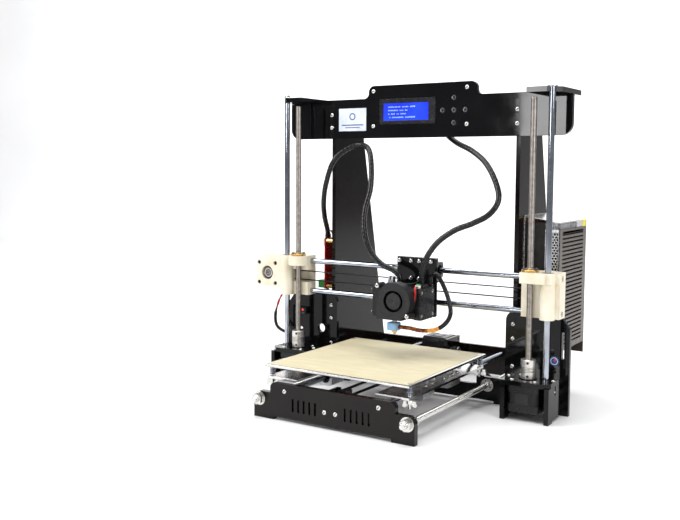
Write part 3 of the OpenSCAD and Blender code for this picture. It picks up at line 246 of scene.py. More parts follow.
BADGE_BLUE = surface("badge_line", (0.02, 0.05, 0.25), (0.03, 0.08, 0.32), (0.25, 0.35), scale=90)
BEZEL = surface("display_bezel", (0.006, 0.006, 0.007), (0.012, 0.012, 0.014), (0.2, 0.32),
                scale=60, specular=0.35, round_edge=0.5)
KEY_METAL = surface("key_cap", (0.2, 0.2, 0.21), (0.34, 0.34, 0.35), (0.22, 0.36), 0.9, scale=300,
                    bump=0.06, grain=1800, round_edge=0.4)
DOT_BLUE = surface("plain_dot", (0.015, 0.05, 0.16), (0.03, 0.08, 0.24), (0.2, 0.3), scale=120)
FLOOR = surface("pale_floor", (0.80, 0.80, 0.80), (0.84, 0.84, 0.84), (0.5, 0.6), scale=3)


def tape_material():
    """Paper tape in strips across the bed: fine fibres, seams and slightly uneven tan."""
    m, tree, shader = new_material("bed_tape")
    base = blend_colour(tree, spread(tree, noise(tree, 26, 5.0, (1, 5, 1)), 0, 1),
                        (0.54, 0.475, 0.31), (0.61, 0.55, 0.37))
    fibre = spread(tree, noise(tree, 900, 3.0, (1, 6, 1)), 0.9, 1.06)
    tan = mix_outputs(tree, 1.0, base, fibre, "MULTIPLY")
    tree.links.new(tan, shader.inputs["Base Color"])
    tree.links.new(spread(tree, noise(tree, 60), 0.5, 0.72), shader.inputs["Roughness"])
    b = relief(tree, noise(tree, 700, 6.0, (1, 5, 1)), 0.5, 0.0003)
    tree.links.new(b.outputs["Normal"], shader.inputs["Normal"])
    return m


def braid_material():
    """Woven glass sleeve: crossing orange, red and dark strands."""
    m, tree, shader = new_material("braided_sleeve")
    a = add(tree, "ShaderNodeTexVoronoi", Scale=420)
    tree.links.new(coords(tree), a.inputs["Vector"])
    strands = blend_colour(tree, spread(tree, a.outputs["Distance"], 0, 1, 0.1, 0.55),
                           (0.5, 0.09, 0.015), (0.02, 0.004, 0.003))
    bright = blend_colour(tree, spread(tree, noise(tree, 170), 0, 1, 0.45, 0.6),
                          (0.16, 0.012, 0.005), (0.85, 0.3, 0.04))
    woven = mix_outputs(tree, 0.45, strands, bright)
    tree.links.new(woven, shader.inputs["Base Color"])
    settle(shader, Roughness=0.6)
    b = relief(tree, a.outputs["Distance"], 0.7, 0.0004)
    tree.links.new(b.outputs["Normal"], shader.inputs["Normal"])
    return m


def lit_material(name, colour, other, strength):
    m, tree, shader = new_material(name)
    c = blend_colour(tree, spread(tree, noise(tree, 30, 2.0), 0, 1), colour, other)
    tree.links.new(c, shader.inputs["Base Color"])
    tree.links.new(c, shader.inputs["Emission Color"])
    settle(shader, Emission_Strength=strength, Roughness=0.12)
    return m


def clear_material():
    m, tree, shader = new_material("clear_cover")
    tree.links.new(spread(tree, noise(tree, 60), 0.08, 0.16), shader.inputs["Roughness"])
    settle(shader, Base_Color=(0.9, 0.92, 0.93, 1), Transmission_Weight=0.92, IOR=1.3)
    return m


TAPE = tape_material()
BRAID = braid_material()
BRAID_BRIGHT = surface("bright_braid", (0.75, 0.2, 0.02), (0.95, 0.5, 0.1), (0.5, 0.65), scale=300,
                       bump=0.3, grain=900)
LCD_BLUE = lit_material("display_blue", (0.008, 0.02, 0.5), (0.012, 0.045, 0.75), 0.75)
LCD_WHITE = lit_material("display_marks", (0.16, 0.28, 0.9), (0.3, 0.45, 1.0), 0.6)
RED_LIGHT = lit_material("red_light", (0.9, 0.03, 0.02), (1.0, 0.06, 0.03), 0.8)
CLEAR = clear_material()

# ---------------- mesh helpers

TURN = {"x": lambda u, v, w: (w, u, v), "y": lambda u, v, w: (u, w, v),
        "z": lambda u, v, w: (u, v, w)}
TAU = 2 * math.pi


def polar(r, a):
    return r * math.cos(a), r * math.sin(a)


class Piece:
    """One visible piece, gathered from primitives that each carry a material."""

    def __init__(self, name, body, slot, *replaced):
        self.name, self.body, self.slot, self.replaced = name, body, slot, replaced
        self.verts, self.faces, self.index, self.mats = [], [], [], []

    def put(self, verts, faces, mat):
        start = len(self.verts)
        self.verts += verts
        self.faces += [[i + start for i in f] for f in faces]
        for one in mat if isinstance(mat, list) else [mat] * len(faces):
            if one not in self.mats:
                self.mats.append(one)
            self.index.append(self.mats.index(one))

    def box(self, x0, x1, y0, y1, z0, z1, mat, c=0.3):
        """Box with chamfered edges."""
        lo, hi = (x0, y0, z0), (x1, y1, z1)
        c = min(c, 0.3 * min(hi[k] - lo[k] for k in range(3)))
        verts, faces, at = [], [], {}
        for s in product((0, 1), repeat=3):
            for k in range(3):
                at[s, k] = len(verts)
                verts.append(tuple((hi if s[j] else lo)[j]
                                   + (0 if j == k else (-c if s[j] else c)) for j in range(3)))
        for k in range(3):
            a, b = [j for j in range(3) if j != k]
            for side in (0, 1):
                loop = []
                for va, vb in ((0, 0), (1, 0), (1, 1), (0, 1)):
                    s = [0, 0, 0]
                    s[k], s[a], s[b] = side, va, vb
                    loop.append(at[tuple(s), k])
                faces.append(loop)
            for va, vb in product((0, 1), repeat=2):
                s0, s1 = [0, 0, 0], [0, 0, 0]
                s0[a] = s1[a] = va
                s0[b] = s1[b] = vb
                s1[k] = 1
                faces.append([at[tuple(s0), a], at[tuple(s1), a], at[tuple(s1), b],
                              at[tuple(s0), b]])
        for s in {s for s, _ in at}:
            faces.append([at[s, 0], at[s, 1], at[s, 2]])
        self.put(verts, faces, mat)

    def block(self, centre, half, mat, c=0.3):
        """Chamfered box about a centre, half its size each way."""
        span = [v for m, h in zip(centre, half) for v in (m - abs(h), m + abs(h))]
        self.box(*span, mat, c)

    def lathe(self, profile, centre, axis, mat, seg=32, closed=False, phase=0.0):
        """Profile of (radius, height) turned about an axis through centre."""
        verts, rings = [], []
        for r, w in profile:
            if r <= 1e-6:
                rings.append([len(verts)])
                verts.append(TURN[axis](0, 0, w))
            else:
                rings.append(list(range(len(verts), len(verts) + seg)))
                verts += [TURN[axis](*polar(r, TAU * k / seg + phase), w) for k in range(seg)]
        faces = []
        for a, b in zip(rings, rings[1:] + ([rings[0]] if closed else [])):
            for k in range(seg):
                n = (k + 1) % seg
                quad = [a[k % len(a)], a[n % len(a)], b[n % len(b)], b[k % len(b)]]
                quad = [q for i, q in enumerate(quad) if q not in quad[:i]]
                if len(quad) > 2:
                    faces.append(quad)
        if not closed:
            for ring in (rings[0], rings[-1]):
                if len(ring) > 1:
                    faces.append(list(ring))
        cx, cy, cz = centre
        self.put([(x + cx, y + cy, z + cz) for x, y, z in verts], faces, mat)

    def rod(self, axis, start, length, r, mat, c=0.4, seg=32):
        """Round bar with chamfered ends."""
        s = math.copysign(1, length)
        c = min(c, r * 0.4, abs(length) * 0.3)
        self.lathe([(r - c, 0), (r, s * c), (r, length - s * c), (r - c, length)], start, axis,
                   mat, seg)

    def nut(self, axis, start, height, flat, bore, mat):
        r = flat / 2 / math.cos(math.pi / 6)
        s = math.copysign(1, height)
        self.lathe([(bore, 0), (r * 0.9, 0), (r, s * 0.6), (r, height - s * 0.6), (r * 0.9, height),
                    (bore, height)], start, axis, mat, 6, closed=True, phase=rng.random())

    def ring(self, axis, start, height, r_out, r_in, mat, seg=32, c=0.2):
        s = math.copysign(1, height)
        self.lathe([(r_in, 0), (r_out - c, 0), (r_out, s * c), (r_out, height - s * c),
                    (r_out - c, height), (r_in, height)], start, axis, mat, seg, closed=True)

    def screw(self, axis, place, way, mat, r=2.9, h=1.8):
        """Button head with a hexagon socket, seated at place and pointing along way."""
        k = r / 2.9
        top = [(0, 0), (r, 0), (r, 0.35 * h), (r * 0.86, 0.7 * h), (r * 0.6, 0.92 * h),
               (1.25 * k, h)]
        self.lathe([(a, b * way) for a, b in top], place, axis, mat, 18)
        x, y, z = place
        d = TURN[axis](0, 0, way * h * 1.005)
        self.lathe([(0.95 * k, 0), (0, 0)], (x + d[0], y + d[1], z + d[2]), axis, SOCKET, 6)

    def prism(self, points, axis, w0, w1, mat):
        n = len(points)
        verts = [TURN[axis](u, v, w) for w in (w0, w1) for u, v in points]
        faces = [list(range(n)), list(range(n, 2 * n))]
        faces += [[k, (k + 1) % n, n + (k + 1) % n, n + k] for k in range(n)]
        self.put(verts, faces, mat)

    def tube(self, path, radius, mat, seg=12):
        """Tube along points. The radius may depend on the length run and the angle, and the
        material on the share of the path run and the share of a turn."""
        rings, run = [], 0.0
        verts, faces = [], []
        keep = None
        for i, p in enumerate(path):
            t = (path[min(i + 1, len(path) - 1)] - path[max(i - 1, 0)]).normalized()
            if keep is None:
                keep = t.orthogonal().normalized()
            keep = (keep - t * keep.dot(t)).normalized()
            other = t.cross(keep)
            if i:
                run += (p - path[i - 1]).length
            ring = []
            for k in range(seg):
                a = TAU * k / seg
                u, v = polar(radius(run, a) if callable(radius) else radius, a)
                ring.append(len(verts))
                verts.append(tuple(p + keep * u + other * v))
            rings.append(ring)
        skins = []
        for i, (a, b) in enumerate(zip(rings, rings[1:])):
            faces += [[a[k], a[(k + 1) % seg], b[(k + 1) % seg], b[k]] for k in range(seg)]
            skins += [mat(i / (len(rings) - 1), k / seg) if callable(mat) else mat
                      for k in range(seg)]
        faces += [rings[0], rings[-1]]
        skins += [skins[0], skins[-1]]
        self.put(verts, faces, skins)

    def done(self, sharp=32, blend=None):
        mesh = bpy.data.meshes.new(self.name)
        mesh.from_pydata([tuple(P(*v)) for v in self.verts], [], self.faces)
        for m in self.mats:
            mesh.materials.append(m)
        mesh.polygons.foreach_set("material_index", self.index)
        bm = bmesh.new()
        bm.from_mesh(mesh)
        bmesh.ops.recalc_face_normals(bm, faces=bm.faces)
        limit = math.radians(sharp)
        for e in bm.edges:
            e.smooth = len(e.link_faces) == 2 and e.calc_face_angle(0) < limit
        for f in bm.faces:
            f.smooth = True
        bm.to_mesh(mesh)
        bm.free()
        obj = bpy.data.objects.new(self.name, mesh)
        scene.collection.objects.link(obj)
        if blend is None:
            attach(obj, self.body)
        else:
            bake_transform(obj)
        if self.replaced:
            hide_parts(*self.replaced)
        return obj


def smooth_path(points, step):
    """Catmull-Rom curve through given points, resampled evenly."""
    pts = [Vector(p) for p in points]
    ends = [pts[0] * 2 - pts[1], *pts, pts[-1] * 2 - pts[-2]]
    fine = []
    for a, b, c, d in zip(ends, ends[1:], ends[2:], ends[3:]):
        for k in range(16):
            t = k / 16
            fine.append(0.5 * ((2 * b) + (c - a) * t + (2 * a - 5 * b + 4 * c - d) * t * t
                               + (3 * b - a - 3 * c + d) * t ** 3))
    fine.append(pts[-1])
    out, left = [fine[0]], step
    for a, b in zip(fine, fine[1:]):
        span = (b - a).length
        while span > 0 and left <= span:
            a = a + (b - a) * (left / span)
            out.append(a.copy())
            span = (b - a).length
            left = step
        left -= span
    if (out[-1] - fine[-1]).length < step * 0.5:
        out.pop()
    out.append(fine[-1])
    return out


def length_of(path):
    return sum((b - a).length for a, b in zip(path, path[1:]))


# ---------------- cords

HEAD_ROUTE = [
    (-172, 29, 212), (-172, 29, 225), (-168, 15, 246), (-160, 0, 270), (-149, -10, 298),
    (-135, -12, 330), (-118, -4, 348), (-98, 2, 355), (-78, -6, 348), (-66, -18, 324),
    (-60, -30, 292), (-62, -42, 260), (-56, -52, 232), (-44, -58, 208), (-24, -60, 190),
    (-4, -60, 182), (5, -60, 174), (5, -60, 163.1)]
PANEL_ROUTE = [
    (14, 12.6, 386), (14, 22, 386), (26, 28, 372), (50, 18, 357), (80, 4, 345),
    (106, -8, 328), (126, -20, 302), (134, -30, 280), (126, -40, 262), (106, -46, 250),
    (82, -50, 240), (60, -54, 224), (46, -58, 204), (40, -60, 184), (40, -60, 163.3)]
BED_ROUTE = [
    (84, -5, 65.3), (84, -5, 60.5), (85, 4, 55.5), (88, 16, 49), (92, 30, 38),
    (96, 44, 26), (99, 58, 14), (106, 76, 8), (114, 100, 7), (120, 124, 10), (122, 144, 18),
    (122, 156, 18)]
END_ROUTE = [
    (-240, 8, 138.3), (-240, 8, 129), (-243, -2, 112), (-242, -12, 92), (-234, -18, 76),
    (-218, -16, 68), (-206, -8, 68.5), (-203, 3, 69), (-202, 14, 72), (-194, 22, 86),
    (-180, 28, 106), (-172.5, 30, 124), (-172.5, 30, 137)]
HEATER_ROUTE = [
    (48, -51, 163.3), (48, -51, 176), (57, -52, 180), (69, -55, 166), (78, -58, 149),
    (83, -61, 132), (79, -65, 119), (66, -68, 109), (46, -70, 105.5), (26, -70, 107),
    (11, -70, 107)]


def spiral(radius, pitch=6.0):
    """Radius of a spiral wrap: a flat band with a narrow groove between its turns."""
    def at(run, angle):
        t = (run / pitch - angle / TAU) % 1.0
        return radius * (0.9 if t < 0.16 else 0.99)
    return at


def lay_cord(name, path, diameter, slot, replaced, join, skin=None, shape=None):
    """Tube along path that hides the parts it replaces, tied to one body, or left unparented when
    two bodies and two points are given.
    """
    piece = Piece(name, None, slot, replaced)
    piece.tube(path, shape or spiral(diameter / 2), skin or LOOM, 14)
    if len(join) == 1:
        piece.body = join[0]
        obj = piece.done(60)
    else:
        obj = piece.done(60, (join[0], join[1], P(*join[2]), P(*join[3])))


def cut(path, share):
    k = round(len(path) * share)
    return path[:k + 1], path[k:]


for loom, route, share, first_bend in (("head_loom", HEAD_ROUTE, 0.8, (-160, -4, 280)),
                                       ("panel_loom", PANEL_ROUTE, 0.66, (80, -2, 345))):
    upper, lower = cut(smooth_path(route, 1.3), share)
    lay_cord(loom + "_upper", upper, 8, "loom", loom,
             ("frame", "x_gantry", first_bend, tuple(upper[-1])))
    lay_cord(loom + "_lower", lower, 8, "loom", loom,
             ("x_gantry", "x_carriage", tuple(lower[2]), tuple(lower[-6])))
lay_cord("bed_cable", smooth_path(BED_ROUTE, 1.2), 5, "loom", "bed_loom",
         ("bed_carriage", "frame", (84, 0, 58), (118, 118, 9)), BLACK_WIRE)
WIRES_END = 46.0
SLEEVE_R = 2.5
SLEEVE_PITCH = 5.0


def wires_then_sleeve(run, angle):
    """Two twisted wires that go into a sleeve further down."""
    if run < WIRES_END:
        return 1.55 + 0.3 * math.cos(2 * (angle + run / SLEEVE_PITCH))
    turn_at = (run / SLEEVE_PITCH - angle / TAU) % 1.0
    return SLEEVE_R * (0.92 if turn_at < 0.16 else 0.99)


end_path = smooth_path(END_ROUTE, 1.2)
end_share = WIRES_END / length_of(end_path)
lay_cord("gantry_cable", end_path, 5, "loom", "end_loom",
         ("x_gantry", "frame", (-240, 8, 134), (-210, -10, 68)),
         lambda share, turn_at: LOOM if share > end_share else
         (RED_WIRE if (turn_at + share * 4) % 1.0 < 0.5 else BLACK_WIRE), wires_then_sleeve)

heater_path = smooth_path(HEATER_ROUTE, 0.9)
heater_length = length_of(heater_path)
BRAID_RUN, BRAID_AND_BRIGHT_RUN = 44.0, 60.0
BRAID_FROM = 1 - BRAID_RUN / heater_length
BRIGHT_FROM = 1 - BRAID_AND_BRIGHT_RUN / heater_length


def heater_skin(share, turn_at):
    if share > BRAID_FROM:
        return BRAID
    return BRAID_BRIGHT if share > BRIGHT_FROM else LOOM


lay_cord("heater_sleeve", heater_path, 6, "braid", "heater_cable", ("x_carriage",), heater_skin,
         lambda run, angle: 2.98 if run < heater_length * BRIGHT_FROM else
         2.75 + 0.18 * math.cos(3 * angle + run * 1.3))

# ---------------- carried-over CAD nodes

KEPT = {
    ACRYLIC: ["front_panel", "wing_plates", "cross_plate", "rod_plates", "motor_legs",
              "carriage_plate"],
    ACRYLIC_BROWN: ["side_plates", "y_front_plate", "y_rear_plate", "y_brackets"],
    IVORY: ["x_motor_end", "x_idler_end"],
    BRASS: ["drive_gear"],
    PLASTIC: ["limit_switches", "fan_frame", "fan_rotor", "blower_rotor"],
    BLOWER_GREY: ["blower_housing"],
    ALUMINIUM: ["y_bearing_blocks", "feed_lever", "y_idler", "x_idler", "y_pulley"],
    # The x bearing blocks are silver like the y blocks; their dark colour here is painted shade from
    # behind the carriage plate.
    DARK_METAL_AND_SHADE: ["x_bearing_blocks"],
    MOTOR_CAP: ["drive_block"],
    SINK: ["heatsink"],
    ZINC: ["nut_front_left", "nut_front_right", "nut_back_left", "nut_back_right"],
    SHEET_ALU: ["y_carriage_plate"],
}
for material, names in KEPT.items():
    for node in names:
        mesh = nodes[node].data
        mesh.materials.clear()
        mesh.materials.append(material)

# ---------------- rods and screws

GANTRY_Z = 159.5
ROD_X, ROD_Y = 204.0, -32.5
SCREW_X, SCREW_Y = 181.5, -35.0
STUD_X, STUD_Z = 108.0, 25.0
Y_ROD_X, Y_ROD_Z = 69.0, 38.5
TRACK_FRONT, TRACK_BACK = -223.0, 156.0
SIDES = (-1, 1)
MOTOR_HOLES = list(product((-15.5, 15.5), repeat=2))
PANEL_SCREWS = ((-74, 381.2), (-74, 431), (73, 381.2), (73, 431))
KEYS = (("centre", 0, 0), ("up", 0, 17), ("down", 0, -17), ("left", -17, 0), ("right", 17, 0))
KEY_X, KEY_Z = 53.0, 400.9
HEAD_X = 17.0
GEAR_Y, GEAR_Z = -67.0, 142.1
TOP_ROD_Z, LOW_ROD_Z = 182.0, 137.0
HEAD_BLOCKS = ((HEAD_X - 16.6, TOP_ROD_Z), (HEAD_X + 14, TOP_ROD_Z), (HEAD_X, LOW_ROD_Z))
MOTOR_X, IDLER_X = -246.5, 195.0


def threaded(piece, axis, start, length, r, pitch, depth, mat, starts=1, seg=20, per_turn=4):
    """Bar with a true helical ridge."""
    step = pitch / per_turn
    count = int(abs(length) / step)
    sign = math.copysign(1, length)
    verts = []
    for i in range(count + 1):
        w = i * step
        fade = min(1.0, w / 1.5, (abs(length) - w) / 1.5)
        for k in range(seg):
            t = (w / pitch - starts * k / seg) % 1.0
            ridge = r - depth * (1 - abs(2 * t - 1)) - (1 - max(0.0, fade)) * depth
            verts.append(TURN[axis](*polar(ridge, TAU * k / seg), sign * w))
    faces = [[i * seg + k, i * seg + (k + 1) % seg, (i + 1) * seg + (k + 1) % seg,
              (i + 1) * seg + k] for i in range(count) for k in range(seg)]
    faces += [list(range(seg)), list(range(count * seg, (count + 1) * seg))]
    x, y, z = start
    piece.put([(a + x, b + y, c + z) for a, b, c in verts], faces, mat)


piece = Piece("smooth_rods", "frame", "chrome_rod", "frame_rods")
for s in SIDES:
    piece.rod("z", (s * ROD_X, ROD_Y, 46), 377.7, 4, CHROME, 0.5, 40)
    piece.rod("y", (s * Y_ROD_X, -215, Y_ROD_Z), 377, 4, CHROME, 0.5, 40)
piece.done()

piece = Piece("threaded_rods", "frame", "zinc", "frame_rods")
for s in SIDES:
    threaded(piece, "y", (s * STUD_X, -237, STUD_Z), 410, 4, 1.25, 0.5, ZINC, 1, 14, 3)
piece.done(50)

piece = Piece("gantry_rods", "x_gantry", "chrome_rod", "x_rods")
for z in (LOW_ROD_Z, TOP_ROD_Z):
    piece.rod("x", (-215, -20, z), 430, 4, CHROME, 0.5, 40)
piece.rod("y", (IDLER_X, -30, GANTRY_Z), 21, 2, ZINC)
piece.screw("y", (IDLER_X, -9, GANTRY_Z), 1, ZINC, 3.5, 3.4)
piece.done()

for side, s in (("left", -1), ("right", 1)):
    node = side + "_leadscrew"
    piece = Piece(side + "_screw", node + "_body", "zinc", node)
    threaded(piece, "z", (s * SCREW_X, SCREW_Y, 65.5), 345.5, 4, 2.0, 0.4, SCREW_STEEL, 4, 24)
    piece.rod("z", (s * SCREW_X, SCREW_Y, 48.1), 16.4, 2.5, CHROME)
    piece.done(50)
    piece = Piece(side + "_coupling", node + "_body", "zinc", node)
    grooves = [(4.05, 0), (9.0, 0), (9.5, 0.5), (9.5, 8.6)]
    for k in range(4):
        z = 9.0 + 1.9 * k
        grooves += [(9.5, z), (7.4, z + 0.15), (7.4, z + 0.75), (9.5, z + 0.9)]
    grooves += [(9.5, 24.5), (9.0, 25), (4.05, 25)]
    piece.lathe(grooves, (s * SCREW_X, SCREW_Y, 52.5), "z", COUPLING, 48, closed=True)
    for z in (56.4, 73.6):
        for a in (-75, 15):
            way = Vector((*polar(1, math.radians(a)), 0))
            place = Vector((s * SCREW_X, SCREW_Y, z)) + way * 9.3
            piece.tube([place - way * 1.6, place + way * 0.28], 1.7, CHIP, 14)
    piece.done(40)

piece = Piece("frame_nuts", "frame", "zinc", "frame_fasteners")
for s in SIDES:
    for y, way in ((TRACK_FRONT, -1), (-215, 1), (6, -1), (12, 1), (TRACK_BACK, -1), (162, 1)):
        piece.ring("y", (s * STUD_X, y, STUD_Z), way * 1.6, 9, 4.15, ZINC, 40)
        piece.nut("y", (s * STUD_X, y + way * 1.6, STUD_Z), way * 6.5, 13, 4.05, ZINC)
    piece.ring("z", (s * ROD_X, ROD_Y, 423.7), 1.2, 6.5, 1.6, ZINC, 36)
    piece.nut("z", (s * ROD_X, ROD_Y, 424.9), 3.2, 7.4, 1.2, ZINC)
    for x in (s * 155, s * 214):
        piece.box(x - 2.6, x + 2.6, -34.9, -29.1, 37.1, 39.5, ZINC)
        piece.rod("z", (x, -32, 36), 16, 1.5, ZINC)
        piece.screw("z", (x, -32, 52), 1, ZINC)
    for dx, dy in MOTOR_HOLES:
        piece.screw("z", (s * SCREW_X + dx, SCREW_Y + dy, 52), 1, ZINC)
piece.done()

piece = Piece("frame_screws", "frame", "zinc", "frame_fasteners")
for s in SIDES:
    for z in (380.5, 399, 114, 94.6, 57, 41.5):
        piece.screw("y", (s * 145.5, 0, z), -1, ZINC)
    piece.screw("y", (s * 8, TRACK_FRONT, 21), -1, ZINC)
    piece.screw("y", (s * Y_ROD_X, TRACK_FRONT, Y_ROD_Z), -1, ZINC)
for x, z in PANEL_SCREWS:
    piece.screw("y", (x, 0, z), -1, ZINC)
piece.done()

# ---------------- motors


def stepper(piece, face, axis, way, length, plug, plug_skin):
    """Square stepper motor: end caps, laminated middle, boss, corner screws and plug."""
    half = 21.15

    def outline(h, c):
        return [(h, -h + c), (h, h - c), (h - c, h), (-h + c, h), (-h, h - c), (-h, -h + c),
                (-h + c, -h), (h - c, -h)]

    base = {"x": (face[1], face[2], face[0]), "y": (face[0], face[2], face[1]), "z": face}[axis]

    def off(u, v, w):
        return tuple(a + b for a, b in zip(face, TURN[axis](u, v, -way * w)))

    def slab(h, c, w0, w1, mat):
        pts = [(base[0] + u, base[1] + v) for u, v in outline(h, c)]
        piece.prism(pts, axis, base[2] - way * w0, base[2] - way * w1, mat)

    slab(half, 4.2, 0, 8.5, MOTOR_CAP)
    slab(half - 0.5, 5.5, 8.5, length - 10, MOTOR_BLACK)
    slab(half, 4.2, length - 10, length, MOTOR_CAP)
    piece.ring(axis, face, way * 1.8, 11, 4.6, MOTOR_CAP, 40)
    for du, dv in MOTOR_HOLES:
        piece.screw(axis, off(du, dv, length), -way, ZINC, 2.4, 0.4)
    u, v = plug
    out, size = half + 1.5, TURN[axis](8.0 if v else 2.4, 2.4 if v else 8.0, 3.0)
    piece.block(off(u * out, v * out, length - 5), size, plug_skin)
    out, size = 0.35 - half, TURN[axis](9.0 if v else 0.5, 0.5 if v else 9.0, 7.0)
    piece.block(off(u * out, v * out, length / 2), size, LABEL_DARK, 0.1)


piece = Piece("frame_motors_shown", "frame", "motor", "frame_motors")
for s in SIDES:
    stepper(piece, (s * SCREW_X, SCREW_Y, 46), "z", 1, 34.5, (0, 1), WHITE_PLASTIC)
stepper(piece, (-11, 134, 38.6), "x", 1, 38, (0, -1), WHITE_PLASTIC)
piece.done()
piece = Piece("gantry_motor", "x_gantry", "motor", "x_motor")
stepper(piece, (MOTOR_X, -8, GANTRY_Z), "y", -1, 38, (0, -1), WHITE_PLASTIC)
# The motor screws are bare metal deep in recesses; the black cap colour on them is painted recess
# shade.
for dx, dz in MOTOR_HOLES:
    piece.screw("y", (MOTOR_X + dx, -24, GANTRY_Z + dz), -1, MOTOR_CAP, 2.75, 2.8)
piece.done()
piece = Piece("feeder_motor", "x_carriage", "motor", "extruder_motor")
stepper(piece, (13, GEAR_Y, GEAR_Z), "x", -1, 38, (0, 1), CHIP)
piece.done()

# ---------------- belts


def belt(piece, a, b, z, r_in, r_out, across, axis):
    """Toothed loop between two axes, teeth on the inside."""
    r_mid = (r_in + r_out) / 2
    run, half_turn = b - a, math.pi * r_mid
    total = 2 * (run + half_turn)
    n = int(total / 0.5)
    n -= n % 4
    verts = []
    for i in range(n):
        s = total * i / n
        tooth = i % 4 < 2
        if s < run:
            place, way = a + s, (0, 1)
        elif s < run + half_turn:
            place, way = b, polar(1, math.pi / 2 - (s - run) / r_mid)
        elif s < 2 * run + half_turn:
            place, way = b - (s - run - half_turn), (0, -1)
        else:
            place, way = a, polar(1, -math.pi / 2 - (s - 2 * run - half_turn) / r_mid)
        for r in (r_in if tooth else r_in + 0.45, r_out):
            for w in across:
                u, v = place + way[0] * r, z + way[1] * r
                verts.append((u, w, v) if axis == "x" else (w, u, v))
    faces = []
    for i in range(n):
        p, q = 4 * i, 4 * ((i + 1) % n)
        faces += [[p, p + 1, q + 1, q], [p + 2, q + 2, q + 3, p + 3], [p, q, q + 2, p + 2],
                  [p + 1, p + 3, q + 3, q + 1]]
    piece.put(verts, faces, BELT)


piece = Piece("gantry_belt", "x_gantry", "belt", "x_belt")
belt(piece, MOTOR_X, IDLER_X, GANTRY_Z, 6.0, 7.1, (-23, -17), "x")
piece.done(40)
piece = Piece("bed_belt", "frame", "belt", "y_belt")
belt(piece, -198, 134, 38.6, 4.6, 5.7, (-3, 3), "y")
piece.done(40)

# ---------------- display

LCD_X, LCD_Z = (-64.5, 25.4), (383.2, 419.8)
GLASS_X, GLASS_Z = (-58.0, 14.5), (388.8, 413.3)
piece = Piece("display", "frame", "display", "lcd_module")
piece.box(-79, 78, 11, 12.6, 376.5, 435.5, PCB_BLUE, 0.2)
for z0, z1 in ((LCD_Z[0], GLASS_Z[0]), (GLASS_Z[1], LCD_Z[1])):
    piece.box(*LCD_X, 0.4, 11, z0, z1, BEZEL, 0.5)
for x0, x1 in ((LCD_X[0], GLASS_X[0]), (GLASS_X[1], LCD_X[1])):
    piece.box(x0, x1, 0.45, 11, *GLASS_Z, BEZEL, 0.2)
piece.box(*GLASS_X, 1.1, 10, *GLASS_Z, LCD_BLUE, 0.1)
for row in range(4):
    z = GLASS_Z[1] - 5.2 - row * 4.9
    x = GLASS_X[0] + 8
    stop = GLASS_X[0] + (34 if row in (1, 2) else 46) + rng.random() * 6
    while x < stop:
        w = 1.3 + rng.random() * 0.5
        if rng.random() > 0.18:
            piece.box(x, x + w, 1.02, 1.12, z - 1.1, z + 0.9 - rng.random() * 0.6, LCD_WHITE, 0.05)
        x += w + 0.7
for x, z in PANEL_SCREWS:
    piece.ring("y", (x, 6, z), 5, 3, 1.7, BRASS, 6)
for _, dx, dz in KEYS:
    piece.box(KEY_X + dx - 3, KEY_X + dx + 3, 7.4, 11, KEY_Z + dz - 3, KEY_Z + dz + 3, CHIP)
for k in range(16):
    piece.rod("y", (-55 + k * 2.54, 12.6, 431), 1.4, 0.7, ZINC, seg=8)
piece.box(-40, -22, 12.6, 15, 390, 408, CHIP)
piece.box(-10, 2, 12.6, 14.8, 392, 404, CHIP)
piece.box(0, 34, 12.6, 21, 379, 388, WHITE_PLASTIC)
piece.done()

for key, dx, dz in KEYS:
    piece = Piece("button_" + key, "key_" + key + "_body", "key_metal", "key_" + key)
    low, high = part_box("key_" + key)
    face, rear = low.y * 1000 - ORIGIN_Y, high.y * 1000 - ORIGIN_Y
    where = (KEY_X + dx, face, KEY_Z + dz)
    piece.lathe([(4.15, rear - face), (4.2, 1.0), (4.0, 0.6), (3.1, 0.6), (3.0, 0.0),
                 (0, 0.0)], where, "y", BEZEL, 36)
    piece.lathe([(3.0, 0.1), (2.8, -0.05), (1.2, 0.12), (0, 0.15)], where, "y", KEY_METAL, 32)
    piece.done()

piece = Piece("badge", "frame", None)
piece.box(-133, -86, -0.35, 0, 375, 408, BADGE_WHITE, 0.12)
piece.ring("y", (-109.5, -0.35, 396), -0.1, 5.2, 3.6, BADGE_BLUE, 32, 0.02)
piece.box(-128, -91, -0.45, -0.3, 383, 384.6, BADGE_BLUE, 0.04)
piece.box(-122, -97, -0.45, -0.3, 379.4, 380.6, BADGE_BLUE, 0.04)
piece.done()

# ---------------- power supply

PX0, PX1 = 148.5, 198.5
PY0, PY1 = 24.0, 135.0
piece = Piece("psu_base", "frame", "psu_base", "psu_case")
piece.box(PX0, PX0 + 1.5, PY0, PY1, 60, 259, PSU_BRIGHT, 0.3)
piece.box(PX0, PX1, PY1 - 1.5, PY1, 60, 250, PSU_SKIN, 0.3)
piece.box(PX0 + 1.5, PX0 + 30, PY0, PY0 + 1.5, 60, 250, PSU_DARK, 0.3)
for x in (183, 193.5):
    piece.ring("y", (x, PY1, 65), 0.2, 3.2, 2.2, ZINC, 24, 0.05)
piece.box(PX0 + 4, PX0 + 5.6, 27, 132, 80, 255, PCB_RED, 0.2)
piece.box(PX0 + 5.6, PX0 + 24, 34, 125, 238, 248, CHIP)
for k in range(9):
    y = 40 + k * 9.9
    piece.box(PX0 + 9, PX0 + 24.4, y - 0.5, y + 0.5, 238.4, 249, CHIP, 0.1)
    if k < 8:
        piece.screw("x", (PX0 + 24, y + 4.9, 244), 1, ZINC, 2.6, 1.4)
piece.box(PX0 + 5.6, PX0 + 36, 60, 96, 150, 186, YELLOW, 1.5)
for z in (100, 126):
    piece.rod("x", (PX0 + 5.6, 50, z), 34, 11, CHIP, 1.0)
piece.done()

